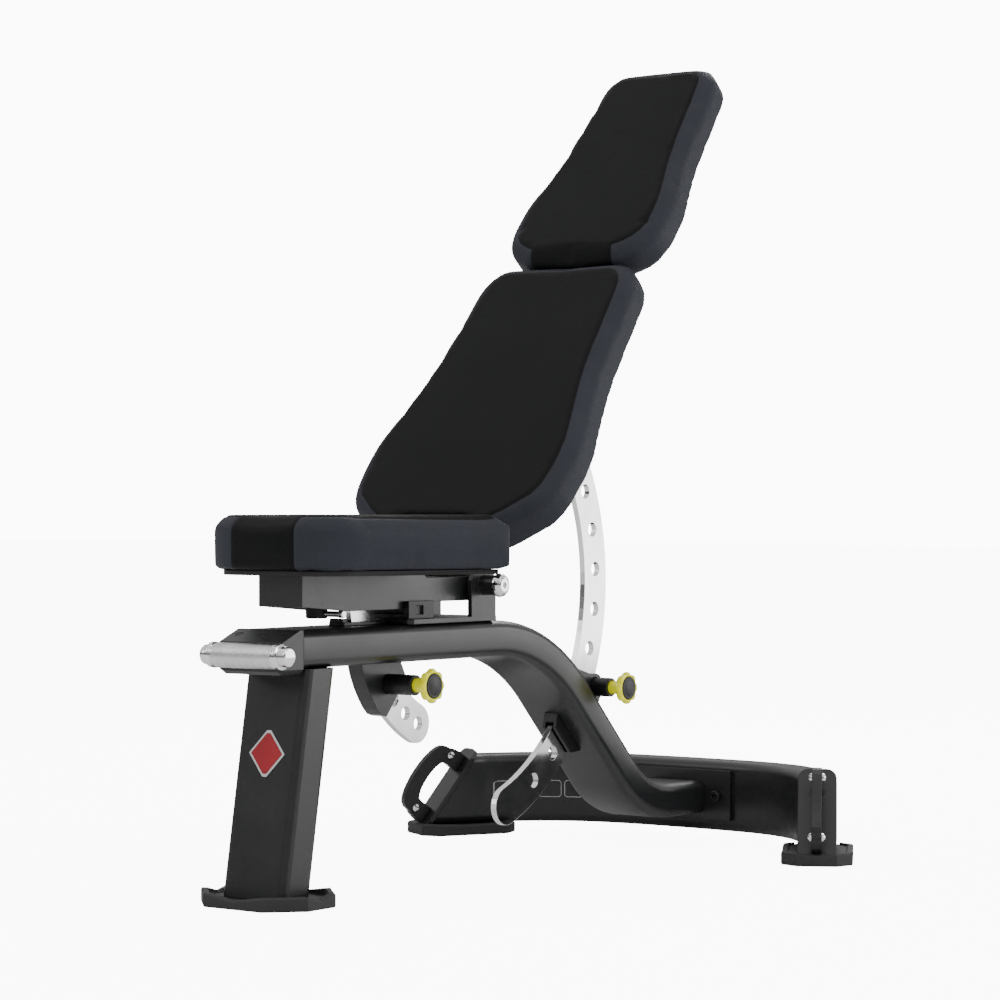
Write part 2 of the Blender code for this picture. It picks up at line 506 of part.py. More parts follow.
def build_rear():
    # beam: mirrored sections along the bowed centre line, the ends cut on the rake
    y_e, a_e = beam_point(BEAM_END_X)
    t_e = Vector((math.cos(a_e), -math.sin(a_e), 0))
    n_e = Vector((math.sin(a_e), math.cos(a_e), 0))
    e0 = Vector((BEAM_END_X, y_e, 0))
    plate_s = (END_PLATE_T + GAP) * math.sqrt(1 + BEAM_RAKE ** 2)
    s_end = END_FACE_S + (END_FACE_Z - BEAM_Z) * BEAM_RAKE - plate_s
    right = []
    steps = 14
    for i in range(1, steps + 1):
        x = BEAM_END_X * (i / steps) ** 0.8
        if x > BEAM_END_X - 0.040 and i < steps:
            continue
        y, a = beam_point(x)
        if i == steps:
            break
        right.append(frame((x, y, BEAM_Z), (math.sin(a), math.cos(a), 0), (0, 0, 1),
                           (math.cos(a), -math.sin(a), 0)))
    end = e0 + t_e * s_end
    end.z = BEAM_Z
    rake = Vector((-BEAM_RAKE * t_e.x, -BEAM_RAKE * t_e.y, 1.0))
    half_rake = Vector((-0.45 * t_e.x * BEAM_RAKE, -0.45 * t_e.y * BEAM_RAKE, 1.0))
    mid = e0 + t_e * (s_end - 0.045)
    mid.z = BEAM_Z
    right.append(frame(mid, n_e, half_rake, t_e))
    right.append(frame(end, n_e, rake, t_e))
    centre = [frame((0, BEAM_Y, BEAM_Z), (0, 1, 0), (0, 0, 1), (1, 0, 0))]
    flip = Matrix.Diagonal((-1, 1, 1, 1))
    left = [flip @ m for m in reversed(right)]
    outer = rounded(BEAM_D / 2, BEAM_H / 2, BEAM_R, 4)
    inner = rounded(BEAM_D / 2 - TUBE_WALL, BEAM_H / 2 - TUBE_WALL, BEAM_R - TUBE_WALL, 4)
    beam = add("rear_beam", tube(outer, inner, left + centre + right), "frame", smooth=30)

    # mounting plate, bowed like the beam's front face
    xs = [-MOUNT_HW + 2 * MOUNT_HW * i / 12 for i in range(13)]
    rings = []
    for x in xs:
        yb = beam_front_y(abs(x)) - GAP
        rings.append([Vector((x, yb, MOUNT_Z0)), Vector((x, yb, MOUNT_Z1)),
                      Vector((x, yb - MOUNT_T, MOUNT_Z1)), Vector((x, yb - MOUNT_T, MOUNT_Z0))])
    mount = add("mount_plate", loft(rings), "frame")
    for side, tag in ((1, "R"), (-1, "L")):
        x = side * MOUNT_BOLT_X
        seat_y = beam_front_y(MOUNT_BOLT_X) - GAP - MOUNT_T - 0.0008
        m = frame((x, seat_y, MOUNT_BOLT_Z), (0, 1, 0), (1, 0, 0), (0, 0, 1))
        bolt = [(0, 0.020), (0.0035, 0.020), (0.0040, 0.0195), (0.0040, 0.0), (0.0078, 0.0),
                (0.0080, -0.0006),
                (0.0080, -0.0062), (0.0072, -0.0070), (0.0036, -0.0070), (0.0036, -0.0030), (0, -0.0030)]
        add("mount_bolt_" + tag, moved(turned(bolt, 18, (0, 0, 0)), m), "trim")
        hole = [(0, 0.024), (0.0040 + HOLE_PLAY, 0.024), (0.0040 + HOLE_PLAY, -0.003), (0, -0.003)]
        tool = moved(turned(hole, 18, (0, 0, 0)), m)
        cut(mount, tool)
        cut(beam, tool)

    # end plates with two tabs each, and the D-shaped grab handles bolted to the tabs
    slant = math.sqrt(1 + BEAM_RAKE ** 2)
    down = (t_e * BEAM_RAKE - Vector((0, 0, 1))) / slant
    out = (t_e + Vector((0, 0, 1)) * BEAM_RAKE) / slant
    top = e0 + t_e * (END_FACE_S + (END_FACE_Z - END_PLATE_TOP) * BEAM_RAKE) + Vector((0, 0, END_PLATE_TOP))
    length = (END_PLATE_TOP - END_PLATE_BOTTOM) * slant
    # local x runs down the face, y along the beam's normal, z outwards
    at_plate = frame(top + down * length / 2, down, n_e, out)
    at_grab = frame(top + down * GRAB_MID, down, out, n_e)
    plate = prism([rounded(length / 2, END_PLATE_W / 2, END_PLATE_R, 4)], -END_PLATE_T, 0.0, at_plate)
    hole = 0.0030 + HOLE_PLAY
    tabs = []
    for u in (-GRAB_BOLT_HALF, GRAB_BOLT_HALF):
        loop = [(u - 0.008, -0.003), (u + 0.008, -0.003)] + arc(u, GRAB_BOLT_OUT, 0.008, 0.0, math.pi, 8)
        tabs.append(prism([loop, circle(u, GRAB_BOLT_OUT, hole, 12)], -0.0025, 0.0025, at_grab))
    d_shape = grab_outline()
    grab = prism([d_shape, circle(-GRAB_BOLT_HALF, GRAB_BOLT_OUT, hole, 12),
                  circle(GRAB_BOLT_HALF, GRAB_BOLT_OUT, hole, 12)], -GRAB_T / 2, GRAB_T / 2, at_grab)
    slots = []
    for u in (-GRAB_BOLT_HALF, GRAB_BOLT_HALF):
        loop = [(u - 0.0085, -0.003), (u + 0.0085, -0.003)] + arc(u, GRAB_BOLT_OUT, 0.0085, 0.0, math.pi, 8)
        slots.append(prism([loop], -0.0025 - GAP, 0.0025 + GAP, at_grab))
    h = GRAB_T / 2 + GAP
    dome = [(0, -h - 0.0048), (0.0028, -h - 0.0045), (0.0052, -h - 0.0028), (0.0060, -h), (0.0030, -h),
            (0.0030, h), (0.0060, h), (0.0052, h + 0.0028), (0.0028, h + 0.0045), (0, h + 0.0048)]
    bolts = []
    for u in (-GRAB_BOLT_HALF, GRAB_BOLT_HALF):
        m = at_grab @ frame((u, GRAB_BOLT_OUT, 0), (0, 0, 1), (1, 0, 0), (0, 1, 0))
        bolts.append(moved(turned(dome, 16, (0, 0, 0)), m))
    foot_floor = BEAM_BOTTOM - GAP
    foot = tray(REAR_FOOT_HL, REAR_FOOT_HW, REAR_FOOT_C, (e0.x, e0.y), a_e, foot_floor, foot_floor + 0.0008)
    # pockets in the shoe for the end plate and for the beam standing in it
    plate_pocket = prism([rounded(length / 2 + GAP, END_PLATE_W / 2 + GAP, END_PLATE_R, 4)],
                         -END_PLATE_T - 2 * GAP, GAP, at_plate)
    half = BEAM_D / 2 + GAP
    beam_pocket = prism([[(-0.08, -half - 0.010), (-0.03, -half - 0.0015), (0.03, -half), (0.03, half),
                          (-0.03, half + 0.0015),
                           (-0.08, half + 0.003)]], foot_floor, 0.05,
                        frame((e0.x, e0.y, 0), t_e, n_e, (0, 0, 1)))
    for tag, fix in (("R", lambda mesh: mesh), ("L", mirrored)):
        body = add("end_plate_" + tag, fix(plate), "frame")
        for tab in tabs:
            cut(body, fix(tab), "UNION")
        handle = add("grab_handle_" + tag, fix(grab), "trim", smooth=40)
        for slot in slots:
            cut(handle, fix(slot))
        for i, bolt in enumerate(bolts):
            add("grab_bolt_%s%d" % (tag, i + 1), fix(bolt), "chrome")
        shoe = add("rear_foot_" + tag, fix(foot), "rubber")
        cut(shoe, fix(plate_pocket))
        cut(shoe, fix(beam_pocket))


def grab_outline():
    """C-shaped bar seen square on: x along the end plate, y outwards; both feet meet the plate."""
    hw, reach, band, gap = GRAB_HALF, GRAB_REACH, GRAB_BAND, GRAB_GAP_HALF
    outer = [(hw, GAP), (hw + 0.0005, 0.012), (hw - 0.0015, 0.022)]
    n = 14
    for i in range(n + 1):
        a = math.pi * i / n
        x = (hw - 0.004) * math.cos(a) * (1 + 0.05 * math.sin(2 * a) ** 2)
        y = 0.026 + (reach - 0.026) * math.sin(a) ** 0.75
        outer.append((x, y))
    outer += [(-hw + 0.0015, 0.022), (-hw - 0.0005, 0.012), (-hw, GAP)]
    inner = [(-gap, GAP), (-gap, 0.019)]
    for i in range(1, 10):
        a = math.pi - math.pi * i / 10
        inner.append((gap * math.cos(a), 0.021 + (reach - band - 0.021) * math.sin(a)))
    inner += [(gap, 0.019), (gap, GAP)]
    return outer + inner


# ---- pivot bracket and axle -----------------------------------------------------------------
def build_pivot():
    z0 = SPINE_TOP + GAP
    z1 = z0 + BASE_T
    hx = BASE_HW
    base = [(hx, BASE_Y0 + 0.006), (hx, BASE_Y1), (-hx, BASE_Y1), (-hx, BASE_Y0 + 0.006),
            (-hx + 0.006, BASE_Y0), (hx - 0.006, BASE_Y0)]
    bracket = add("pivot_bracket", plate_xy([base], z0, z1), "frame")
    cheek = [(PIVOT_Y - CHEEK_HW, z1 - 0.001), (PIVOT_Y + CHEEK_HW, z1 - 0.001)]
    cheek += arc(PIVOT_Y, PIVOT_Z, CHEEK_HW, 0.0, math.pi, 14)
    bore = circle(PIVOT_Y, PIVOT_Z, AXLE_R + HOLE_PLAY, 20)
    outer_x = BASE_HW
    for s, tag in ((1, "R"), (-1, "L")):
        # upright cheek with a raised boss for the cap nut
        x0, x1 = sorted((s * (outer_x - CHEEK_T), s * outer_x))
        cut(bracket, plate_yz([cheek, bore], x0, x1), "UNION")
        boss_bore = AXLE_R + HOLE_PLAY + GAP
        ring = [(boss_bore, outer_x - 0.001), (0.0124, outer_x - 0.001), (0.0124, NUT_IN - GAP),
                (boss_bore, NUT_IN - GAP)]
        cut(bracket, turned([(r, s * x) for r, x in ring], 20, PIVOT, closed=True), "UNION")
        inner = [(AXLE_R + HOLE_PLAY, FRAME_HW + RUN), (0.0125, FRAME_HW + RUN),
                 (0.0125, outer_x - CHEEK_T - RUN), (AXLE_R + HOLE_PLAY, outer_x - CHEEK_T - RUN)]
        add("axle_spacer_" + tag, turned([(r, s * x) for r, x in inner], 20, PIVOT, closed=True), "steel")
        # domed cap nut on the axle's end, with a hexagon socket
        nut = [(0.0, NUT_IN + 0.0042), (AXLE_R + HOLE_PLAY, NUT_IN + 0.0042), (AXLE_R + HOLE_PLAY, NUT_IN),
               (NUT_R - 0.0008, NUT_IN), (NUT_R, NUT_IN + 0.0008), (NUT_R, NUT_IN + 0.0030),
               (0.0142, NUT_OUT - 0.0045), (0.0127, NUT_OUT - 0.0023), (0.0104, NUT_OUT - 0.0007),
               (0.0080, NUT_OUT), (0.0, NUT_OUT)]
        body = add("cap_nut_" + tag, turned([(r, s * x) for r, x in nut], 28, PIVOT), "chrome")
        hexa = circle(PIVOT_Y, PIVOT_Z, 0.0042, 6)
        x0, x1 = sorted((s * (NUT_OUT - 0.0030), s * (NUT_OUT + 0.002)))
        cut(body, plate_yz([hexa], x0, x1))
    half = NUT_IN + 0.0038
    add("pivot_axle", turned([(0, -half), (AXLE_R - 0.001, -half), (AXLE_R, -half + 0.001),
                              (AXLE_R, half - 0.001),
                              (AXLE_R - 0.001, half), (0, half)], 20, PIVOT), "steel")

    # cradle with a rubber pad, on which the seat frame lies when it is level
    out_hw, in_hw = FRAME_HW + 0.0080, FRAME_HW + 0.0015
    bottom = z1 + GAP
    floor = bottom + 0.006
    lip = 0.345
    u_shape = [(-out_hw, bottom), (out_hw, bottom), (out_hw, lip), (in_hw, lip), (in_hw, floor),
               (-in_hw, floor), (-in_hw, lip), (-out_hw, lip)]
    m = frame((0, 0, 0), (1, 0, 0), (0, 0, 1), (0, 1, 0))
    rest = add("seat_rest", prism([u_shape], REST_Y0, REST_Y1, m), "trim")
    for s in (1, -1):
        x0, x1 = sorted((s * (out_hw - 0.003), s * (out_hw + 0.002)))
        yc, zc = (REST_Y0 + REST_Y1) / 2 - 0.003, bottom + 0.0105
        pocket = [(yc - 0.007, zc - 0.0055), (yc + 0.007, zc - 0.0055), (yc + 0.007, zc + 0.0055),
                  (yc - 0.007, zc + 0.0055)]
        cut(rest, plate_yz([pocket], x0, x1))
    pad = rounded(FRAME_HW, (REST_Y1 - REST_Y0) / 2 - 0.003, 0.003, 2)
    pad = [(x, y + (REST_Y0 + REST_Y1) / 2) for x, y in pad]
    add("seat_rest_pad", plate_xy([pad], floor + GAP, FRAME_LOW - GAP), "rubber")


# ---- guides and pull pins ---------------------------------------------------------------------
def build_guides():
    half = SECTOR_HT + SLOT_PLAY
    # plate round the slot on the spine's top, with a small stop lug
    z0 = SPINE_TOP + GAP
    loop = [(0.012, 0.1245), (0.012, 0.2050), (0.0095, 0.2075), (-0.0095, 0.2075), (-0.012, 0.2050),
            (-0.012, 0.1245), (-0.0095, 0.122), (0.0095, 0.122)]
    slot_y0 = PIVOT_Y - math.sqrt((SEAT_SEC_RO + 0.004) ** 2 - (PIVOT_Z - z0 - 0.004) ** 2)
    slot_y1 = PIVOT_Y - math.sqrt((SEAT_SEC_RI - 0.004) ** 2 - (PIVOT_Z - z0) ** 2)
    lo, hi = slot_y0 - 0.002, slot_y1 + 0.001
    hole = [(half, lo), (half, hi), (-half, hi), (-half, lo)]
    cover = add("slot_cover", plate_xy([loop, hole[::-1]], z0, z0 + 0.004), "trim")
    lug = [(0.010, 0.1235), (0.010, 0.132), (-0.010, 0.132), (-0.010, 0.1235)]
    cut(cover, plate_xy([lug], z0 + 0.001, z0 + 0.0085), "UNION")

    # guide under the spine: two cheeks joined in front of the seat sector
    top = SPINE_UNDER - GAP
    side = [(0.1575, top), (0.1625, 0.2560), (0.1700, 0.2405), (0.1790, 0.2265), (0.1880, 0.2150),
            (0.1950, 0.2085),
            (0.2060, 0.2055), (0.2260, 0.2290), (0.2465, 0.2475), (0.2335, top)]
    guide = add("seat_guide", plate_yz([side], -GUIDE_HW, GUIDE_HW), "frame")
    cut(guide, sector_slot(SEAT_SEC_RI - 0.010, SEAT_SEC_RO + 0.002, math.pi - math.radians(15),
                           math.pi - math.radians(62), half))
    bore = [(0, half - 0.002), (PIN_R + RUN, half - 0.002), (PIN_R + RUN, GUIDE_HW + 0.004),
            (0, GUIDE_HW + 0.004)]
    cut(guide, turned(bore, 20, SEAT_PIN))

    # guide on the sloping run's front face, slotted for the back sector
    m = frame(slope_point(0.0, -SPINE_H / 2 - GAP), slope_dir(), -slope_normal(), (1, 0, 0))
    shape = [(-0.0315, 0.0), (0.0420, 0.0), (0.0270, 0.0172), (-0.0215, 0.0172)]
    guide = add("back_guide", prism([shape], -0.0105, 0.0105, m), "frame")
    cut(guide, sector_slot(BACK_SEC_RI - 0.004, BACK_SEC_RO + 0.004, math.radians(18), math.radians(60),
                           half))


def build_pin(tag, axis, x_in, gusset):
    """Boss, spring, plunger, knob and cap of one pull pin, stored drawn clear of its sector."""
    stop = SHOULDER_X - PIN_TRAVEL - 0.0010
    boss = [(PIN_R + RUN, x_in), (BOSS_R - 0.0008, x_in), (BOSS_R, x_in + 0.0008),
            (BOSS_R, BOSS_END - 0.0010),
            (BOSS_R - 0.0010, BOSS_END), (BOSS_BORE, BOSS_END), (BOSS_BORE, FLANGE_X + FLANGE_T),
            (PIN_R, FLANGE_X + FLANGE_T), (PIN_R, FLANGE_X), (BOSS_BORE, FLANGE_X)]
    if x_in < stop:
        boss += [(BOSS_BORE, stop), (PIN_R + RUN, stop)]
    else:
        boss[0] = (BOSS_BORE, x_in)
    add(tag + "_pin_boss", turned(boss, 24, axis, closed=True), "trim")
    if gusset:
        add(tag + "_pin_gusset", plate_yz([gusset, circle(axis.y, axis.z, BOSS_R + GAP, 24)], GUSSET_X0,
                                          GUSSET_X0 + GUSSET_T), "frame")
    add(tag + "_pin_spring", coil(axis, PIN_R + 0.0012, 0.0007, SHOULDER_X + SHOULDER_T + RUN + 0.0007,
                                  FLANGE_X - GAP - 0.0007, 3.25), "steel", smooth=60)
    rod = PIN_R - 0.0006
    plunger = [(0, PIN_TIP), (PIN_R - 0.0015, PIN_TIP), (PIN_R, PIN_TIP + 0.0015), (PIN_R, SHOULDER_X),
               (SHOULDER_R, SHOULDER_X), (SHOULDER_R, SHOULDER_X + SHOULDER_T),
               (rod, SHOULDER_X + SHOULDER_T),
               (rod, NECK_IN + 0.0120), (0, NECK_IN + 0.0120)]
    add(tag + "_pin_plunger", turned(plunger, 20, axis), "steel", origin=axis)
    face = KNOB_X + 0.0035
    knob = [(0, NECK_IN + 0.0124), (rod + HOLE_PLAY, NECK_IN + 0.0124), (rod + HOLE_PLAY, NECK_IN),
            (NECK_R, NECK_IN), (NECK_R, 0.0655), (0.0105, 0.0675), (0.0160, 0.0700), (0.0192, 0.0720),
            (KNOB_R, 0.0745), (KNOB_R, 0.0785), (0.0198, 0.0805), (0.0175, face), (CAP_R + HOLE_PLAY, face),
            (CAP_R + HOLE_PLAY, face - 0.0022), (0, face - 0.0022)]
    add(tag + "_pin_knob", turned(knob, 48, axis, lobes=8, lobe_from=0.0185, lobe_depth=0.13), "yellow",
        origin=axis, smooth=40)
    cap = [(0, face - 0.0022 + GAP), (CAP_R, face - 0.0022 + GAP), (CAP_R, face + 0.0002),
           (CAP_R - 0.0010, face + 0.0010),
           (0, face + 0.0014)]
    add(tag + "_pin_cap", turned(cap, 24, axis), "trim", origin=axis)


def coil(axis, radius, wire, x0, x1, turns):
    """Round-wire spring about an X axis."""
    steps = int(turns * 12)
    rings = []
    for i in range(steps + 1):
        t = i / steps
        a = 2 * math.pi * turns * t
        centre = Vector((x0 + (x1 - x0) * t, axis.y + radius * math.cos(a), axis.z + radius * math.sin(a)))
        radial = Vector((0, math.cos(a), math.sin(a)))
        rings.append([centre + radial * (wire * math.cos(b)) + Vector((1, 0, 0)) * (wire * math.sin(b))
                      for b in (2 * math.pi * k / 6 for k in range(6))])
    return loft(rings)


def build_pins():
    build_pin("seat", SEAT_PIN, GUIDE_HW + GAP, None)
    # gusset from the spine's sloping face up round the boss
    surface = SPINE_H / 2 + GAP
    foot0, foot1 = slope_point(-0.075, surface), slope_point(0.012, surface)
    top = arc(BACK_PIN.y, BACK_PIN.z, BOSS_R + 0.0050, math.radians(-25), math.radians(112), 9)
    gusset = [(foot0.y, foot0.z), (foot1.y, foot1.z)] + top
    build_pin("back", BACK_PIN, SECTOR_HT + SLOT_PLAY + 0.0012, gusset)


# ---- seat -----------------------------------------------------------------------------------
def seat_outline():
    """Outer plan outline, counter-clockwise from the rear right corner; front corners well rounded."""
    taper = math.atan2(SEAT_HW1 - SEAT_HW0, SEAT_Y1 - SEAT_Y0 - SEAT_R0)
    right = []
    right += arc(SEAT_HW1 - SEAT_R1 * (1 / math.cos(taper) + math.tan(taper)), SEAT_Y1 - SEAT_R1, SEAT_R1,
                 math.radians(-2) - taper, math.radians(90), 4)
    left = [(-x, y) for x, y in reversed(right)]
    cx = SEAT_HW0 - SEAT_R0
    front_left = arc(-cx, SEAT_Y0 + SEAT_R0, SEAT_R0, math.pi + taper, math.radians(270), 10)
    front_right = arc(cx, SEAT_Y0 + SEAT_R0, SEAT_R0, math.radians(270), 2 * math.pi - taper, 10)
    return right + left + front_left + front_right


def build_seat():
    low = FRAME_LOW
    eye = 0.019
    side = [(FRAME_FRONT, FRAME_TOP), (FRAME_FRONT, 0.3425), (0.105, low), (0.262, low), (0.268, 0.3432)]
    side += arc(PIVOT_Y, PIVOT_Z, eye, math.radians(270), math.radians(506), 16)
    side += [(0.256, FRAME_DIP), (0.250, FRAME_TOP)]
    bore = circle(PIVOT_Y, PIVOT_Z, AXLE_R + RUN, 20)
    seat = add("seat_frame", plate_yz([side, bore], -FRAME_HW, FRAME_HW), "frame", origin=PIVOT)
    inner_hw = FRAME_HW - FRAME_WALL
    top = FRAME_TOP - FRAME_WALL
    hollow = [(FRAME_FRONT + FRAME_WALL, 0.30), (FRAME_FRONT + FRAME_WALL, top), (0.247, top),
              (0.253, FRAME_DIP - FRAME_WALL), (0.312, FRAME_DIP - FRAME_WALL), (0.312, 0.40), (0.40, 0.40),
              (0.40, 0.30)]
    cut(seat, plate_yz([hollow], -inner_hw, inner_hw))

    # sector plate: from under the frame's top down through the spine
    ri, ro, rh = SEAT_SEC_RI, SEAT_SEC_RO, SEAT_SEC_RH
    lift = math.asin((top - GAP - PIVOT_Z) / ro), math.asin((top - GAP - PIVOT_Z) / ri)
    pi = math.pi
    end = SEAT_SEC_END
    mid_r = (ri + ro) / 2
    half_w = (ro - ri) / 2
    ey, ez = PIVOT_Y - mid_r * math.cos(end), PIVOT_Z - mid_r * math.sin(end)
    loop = arc(PIVOT_Y, PIVOT_Z, ro, pi - lift[0], pi + end, 18)
    loop += arc(ey, ez, half_w, pi + end, pi + end + pi, 12)[1:-1]
    loop += arc(PIVOT_Y, PIVOT_Z, ri, pi + end, pi - lift[1], 18)
    holes = []
    for k in range(SEAT_HOLES_UP + 1):
        a = SEAT_PIN_ANGLE + k * SEAT_STEP
        holes.append(circle(PIVOT_Y - rh * math.cos(a), PIVOT_Z - rh * math.sin(a), SEAT_HOLE_R, 16)[::-1])
    add("seat_sector", plate_yz([loop] + holes, -SECTOR_HT, SECTOR_HT), "satin", origin=PIVOT)

    # rubber stop with its stem, and the stop pin beside it
    axis_y = 0.0875
    m = frame((0, axis_y, 0), (0, 0, 1), (1, 0, 0), (0, 1, 0))
    stop = [(0, 0.3272), (0.0115, 0.3272), (0.0130, 0.3287), (0.0130, 0.3405), (0.0120, 0.3415),
            (0.0060, 0.3415),
            (0.0060, top - GAP), (0, top - GAP)]
    add("seat_stop", moved(turned(stop, 20, (0, 0, 0)), m), "rubber", origin=PIVOT)
    pin_z = FRAME_LOW - 0.0028
    pin = [(0, 0.0140), (0.0037, 0.0140), (0.0037, 0.0350), (0.0046, 0.0352), (0.0046, 0.0412),
           (0.0038, 0.0420),
           (0, 0.0420)]
    add("seat_stop_pin", turned(pin, 14, (0, axis_y, pin_z)), "satin", origin=PIVOT)

    outline = seat_outline()
    bottom = FRAME_TOP + GAP
    board = offset_loop(outline, -0.010)
    add("seat_board", plate_xy([board], bottom, bottom + SEAT_BOARD_T), "board", origin=PIVOT)
    z0 = bottom + SEAT_BOARD_T + GAP
    levels = [(-0.003, z0), (0.0, z0 + 0.004), (0.0, SEAT_SHOULDER),
              (-SEAT_CHAMFER * 0.45, SEAT_SHOULDER + 0.0085),
              (-SEAT_CHAMFER, SEAT_TOP)]
    rings = [[Vector((x, y, z)) for x, y in offset_loop(outline, d)] for d, z in levels]
    add("seat_cushion", loft(rings), "leather", origin=PIVOT, smooth=40)


# ---- back -----------------------------------------------------------------------------------
def back_matrix():
    """Local x across, y up the back, z out of the pad face; origin on the pivot axis."""
    return frame(PIVOT, (1, 0, 0), UP_BACK, OUT_BACK)


def face_loop(half):
    right = [(w, s) for s, w in half if w > 0]
    return right + [(-w, s) for w, s in reversed(right)]


def pad_low(x, tag):
    """Lowest point up the back that a cushion may reach: cut in over the seat frame."""
    if tag == "head":
        return 0.0
    return 0.036 - 0.018 * min(1.0, max(0.0, (x - 0.045) / 0.035))


def build_back():
    m = back_matrix()
    tube_top = FACE_OUT - PAD_T - BOARD_T - 3 * GAP
    tube_mid = tube_top - BACK_TUBE_H / 2
    outer = rounded(BACK_TUBE_HW, BACK_TUBE_H / 2, 0.005, 3)
    inner = rounded(BACK_TUBE_HW - 0.0025, BACK_TUBE_H / 2 - 0.0025, 0.0025, 3)
    start = SLEEVE_R + GAP
    frames = [m @ frame((0, s, tube_mid), (1, 0, 0), (0, 0, 1), (0, 1, 0)) for s in (start, BACK_TUBE_END)]
    add("back_tube", tube(outer, inner, frames), "frame", origin=PIVOT)
    cap = rounded(BACK_TUBE_HW, BACK_TUBE_H / 2, 0.005, 3)
    plug = rounded(BACK_TUBE_HW - 0.0030, BACK_TUBE_H / 2 - 0.0030, 0.0025, 3)
    rings = []
    for loop, s in ((plug, BACK_TUBE_END - 0.014), (plug, BACK_TUBE_END + GAP), (cap, BACK_TUBE_END + GAP),
                    (cap, BACK_TUBE_END + 0.004)):
        rings.append([m @ Vector((x, s, tube_mid + y)) for x, y in loop])
    add("back_tube_cap", loft(rings), "trim", origin=PIVOT)
    sleeve_half = FRAME_HW - FRAME_WALL - RUN
    ring = [(AXLE_R + RUN, -sleeve_half), (SLEEVE_R, -sleeve_half), (SLEEVE_R, sleeve_half),
            (AXLE_R + RUN, sleeve_half)]
    add("back_sleeve", turned(ring, 28, PIVOT, closed=True), "frame", origin=PIVOT)

    # sector plate, its root lying against the tube's rear face
    ri, ro, rh = BACK_SEC_RI, BACK_SEC_RO, BACK_SEC_RH
    under = tube_mid - BACK_TUBE_H / 2 - GAP
    root_o = -BACK_RECLINE + math.asin(-under / ro)
    root_i = -BACK_RECLINE + math.asin(-under / ri)
    end = BACK_SEC_END
    mid_r, half_w = (ri + ro) / 2, (ro - ri) / 2
    ey, ez = PIVOT_Y + mid_r * math.cos(end), PIVOT_Z - mid_r * math.sin(end)
    loop = arc(PIVOT_Y, PIVOT_Z, ro, -root_o, -end, 36)
    loop += arc(ey, ez, half_w, -end, -end - math.pi, 12)[1:-1]
    loop += arc(PIVOT_Y, PIVOT_Z, ri, -end, -root_i, 36)
    holes = []
    for k in range(-BACK_HOLES_DOWN, BACK_HOLES_UP + 1):
        a = BACK_PIN_ANGLE + k * BACK_STEP
        holes.append(circle(PIVOT_Y + rh * math.cos(a), PIVOT_Z - rh * math.sin(a), BACK_HOLE_R, 16))
    add("back_sector", plate_yz([loop] + holes, -SECTOR_HT, SECTOR_HT), "chrome", origin=PIVOT)

    for tag, half in (("lower", LOWER_FACE), ("head", HEAD_FACE)):
        face = face_loop(half)
        board_z = tube_top + GAP
        add(tag + "_board", prism([face], board_z, board_z + BOARD_T, m), "board", origin=PIVOT)
        z0 = board_z + BOARD_T + GAP
        levels = [(PAD_EDGE - 0.004, z0), (PAD_EDGE, z0 + 0.004), (PAD_EDGE, FACE_OUT - PAD_EDGE_H),
                  (PAD_EDGE * 0.62, FACE_OUT - PAD_EDGE_H * 0.42), (0.0, FACE_OUT)]
        rings = [[m @ Vector((x, max(s, pad_low(abs(x), tag)), z)) for x, s in offset_loop(face, d)]
                 for d, z in levels]
        add(tag + "_cushion", loft(rings), "leather", origin=PIVOT, smooth=40)


for old in list(bpy.data.objects):
    bpy.data.objects.remove(old, do_unlink=True)

build_front()
build_spine()
build_rear()
build_pivot()
build_guides()
build_pins()
build_seat()
build_back()
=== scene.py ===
"""Looks for the adjustable weight bench: materials, cushions, grip, knobs, graphics, light, camera."""
import json
import math

import bmesh
import bpy
import numpy as np
from mathutils import Matrix, Vector
from mathutils.bvhtree import BVHTree


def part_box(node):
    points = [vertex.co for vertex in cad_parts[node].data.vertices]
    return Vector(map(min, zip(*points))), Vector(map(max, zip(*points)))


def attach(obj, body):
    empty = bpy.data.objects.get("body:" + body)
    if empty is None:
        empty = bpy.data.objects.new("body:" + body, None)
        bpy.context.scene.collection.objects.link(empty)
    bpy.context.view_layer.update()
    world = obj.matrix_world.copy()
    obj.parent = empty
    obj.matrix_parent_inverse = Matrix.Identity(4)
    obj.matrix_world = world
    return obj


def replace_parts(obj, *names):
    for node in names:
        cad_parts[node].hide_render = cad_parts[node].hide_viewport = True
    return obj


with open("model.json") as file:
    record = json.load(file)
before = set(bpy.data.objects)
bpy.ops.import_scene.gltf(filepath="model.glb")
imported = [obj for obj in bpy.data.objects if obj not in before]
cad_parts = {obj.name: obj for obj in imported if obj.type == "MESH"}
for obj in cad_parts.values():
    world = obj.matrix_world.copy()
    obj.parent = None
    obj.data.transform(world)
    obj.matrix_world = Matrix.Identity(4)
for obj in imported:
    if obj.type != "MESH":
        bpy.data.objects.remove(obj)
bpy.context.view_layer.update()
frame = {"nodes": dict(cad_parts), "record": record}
NODES = frame["nodes"]

# ---- camera: long lens, a little below the seat, level with the frame --------------------------
CAM_POS, CAM_TURN, CAM_PITCH, FOCAL_PX = (2.2686, -3.05115, 0.455), 0.6356, 0.0033, 2996.9
cam_data = bpy.data.cameras.new("camera")
cam_data.sensor_width = 36.0
cam_data.lens = FOCAL_PX * 36.0 / 1000.0
cam_data.clip_end = 60.0
cam = bpy.data.objects.new("camera", cam_data)
cam.location = CAM_POS
cam.rotation_euler = (math.pi / 2 + CAM_PITCH, 0.0, CAM_TURN)
bpy.context.scene.collection.objects.link(cam)
bpy.context.scene.camera = cam

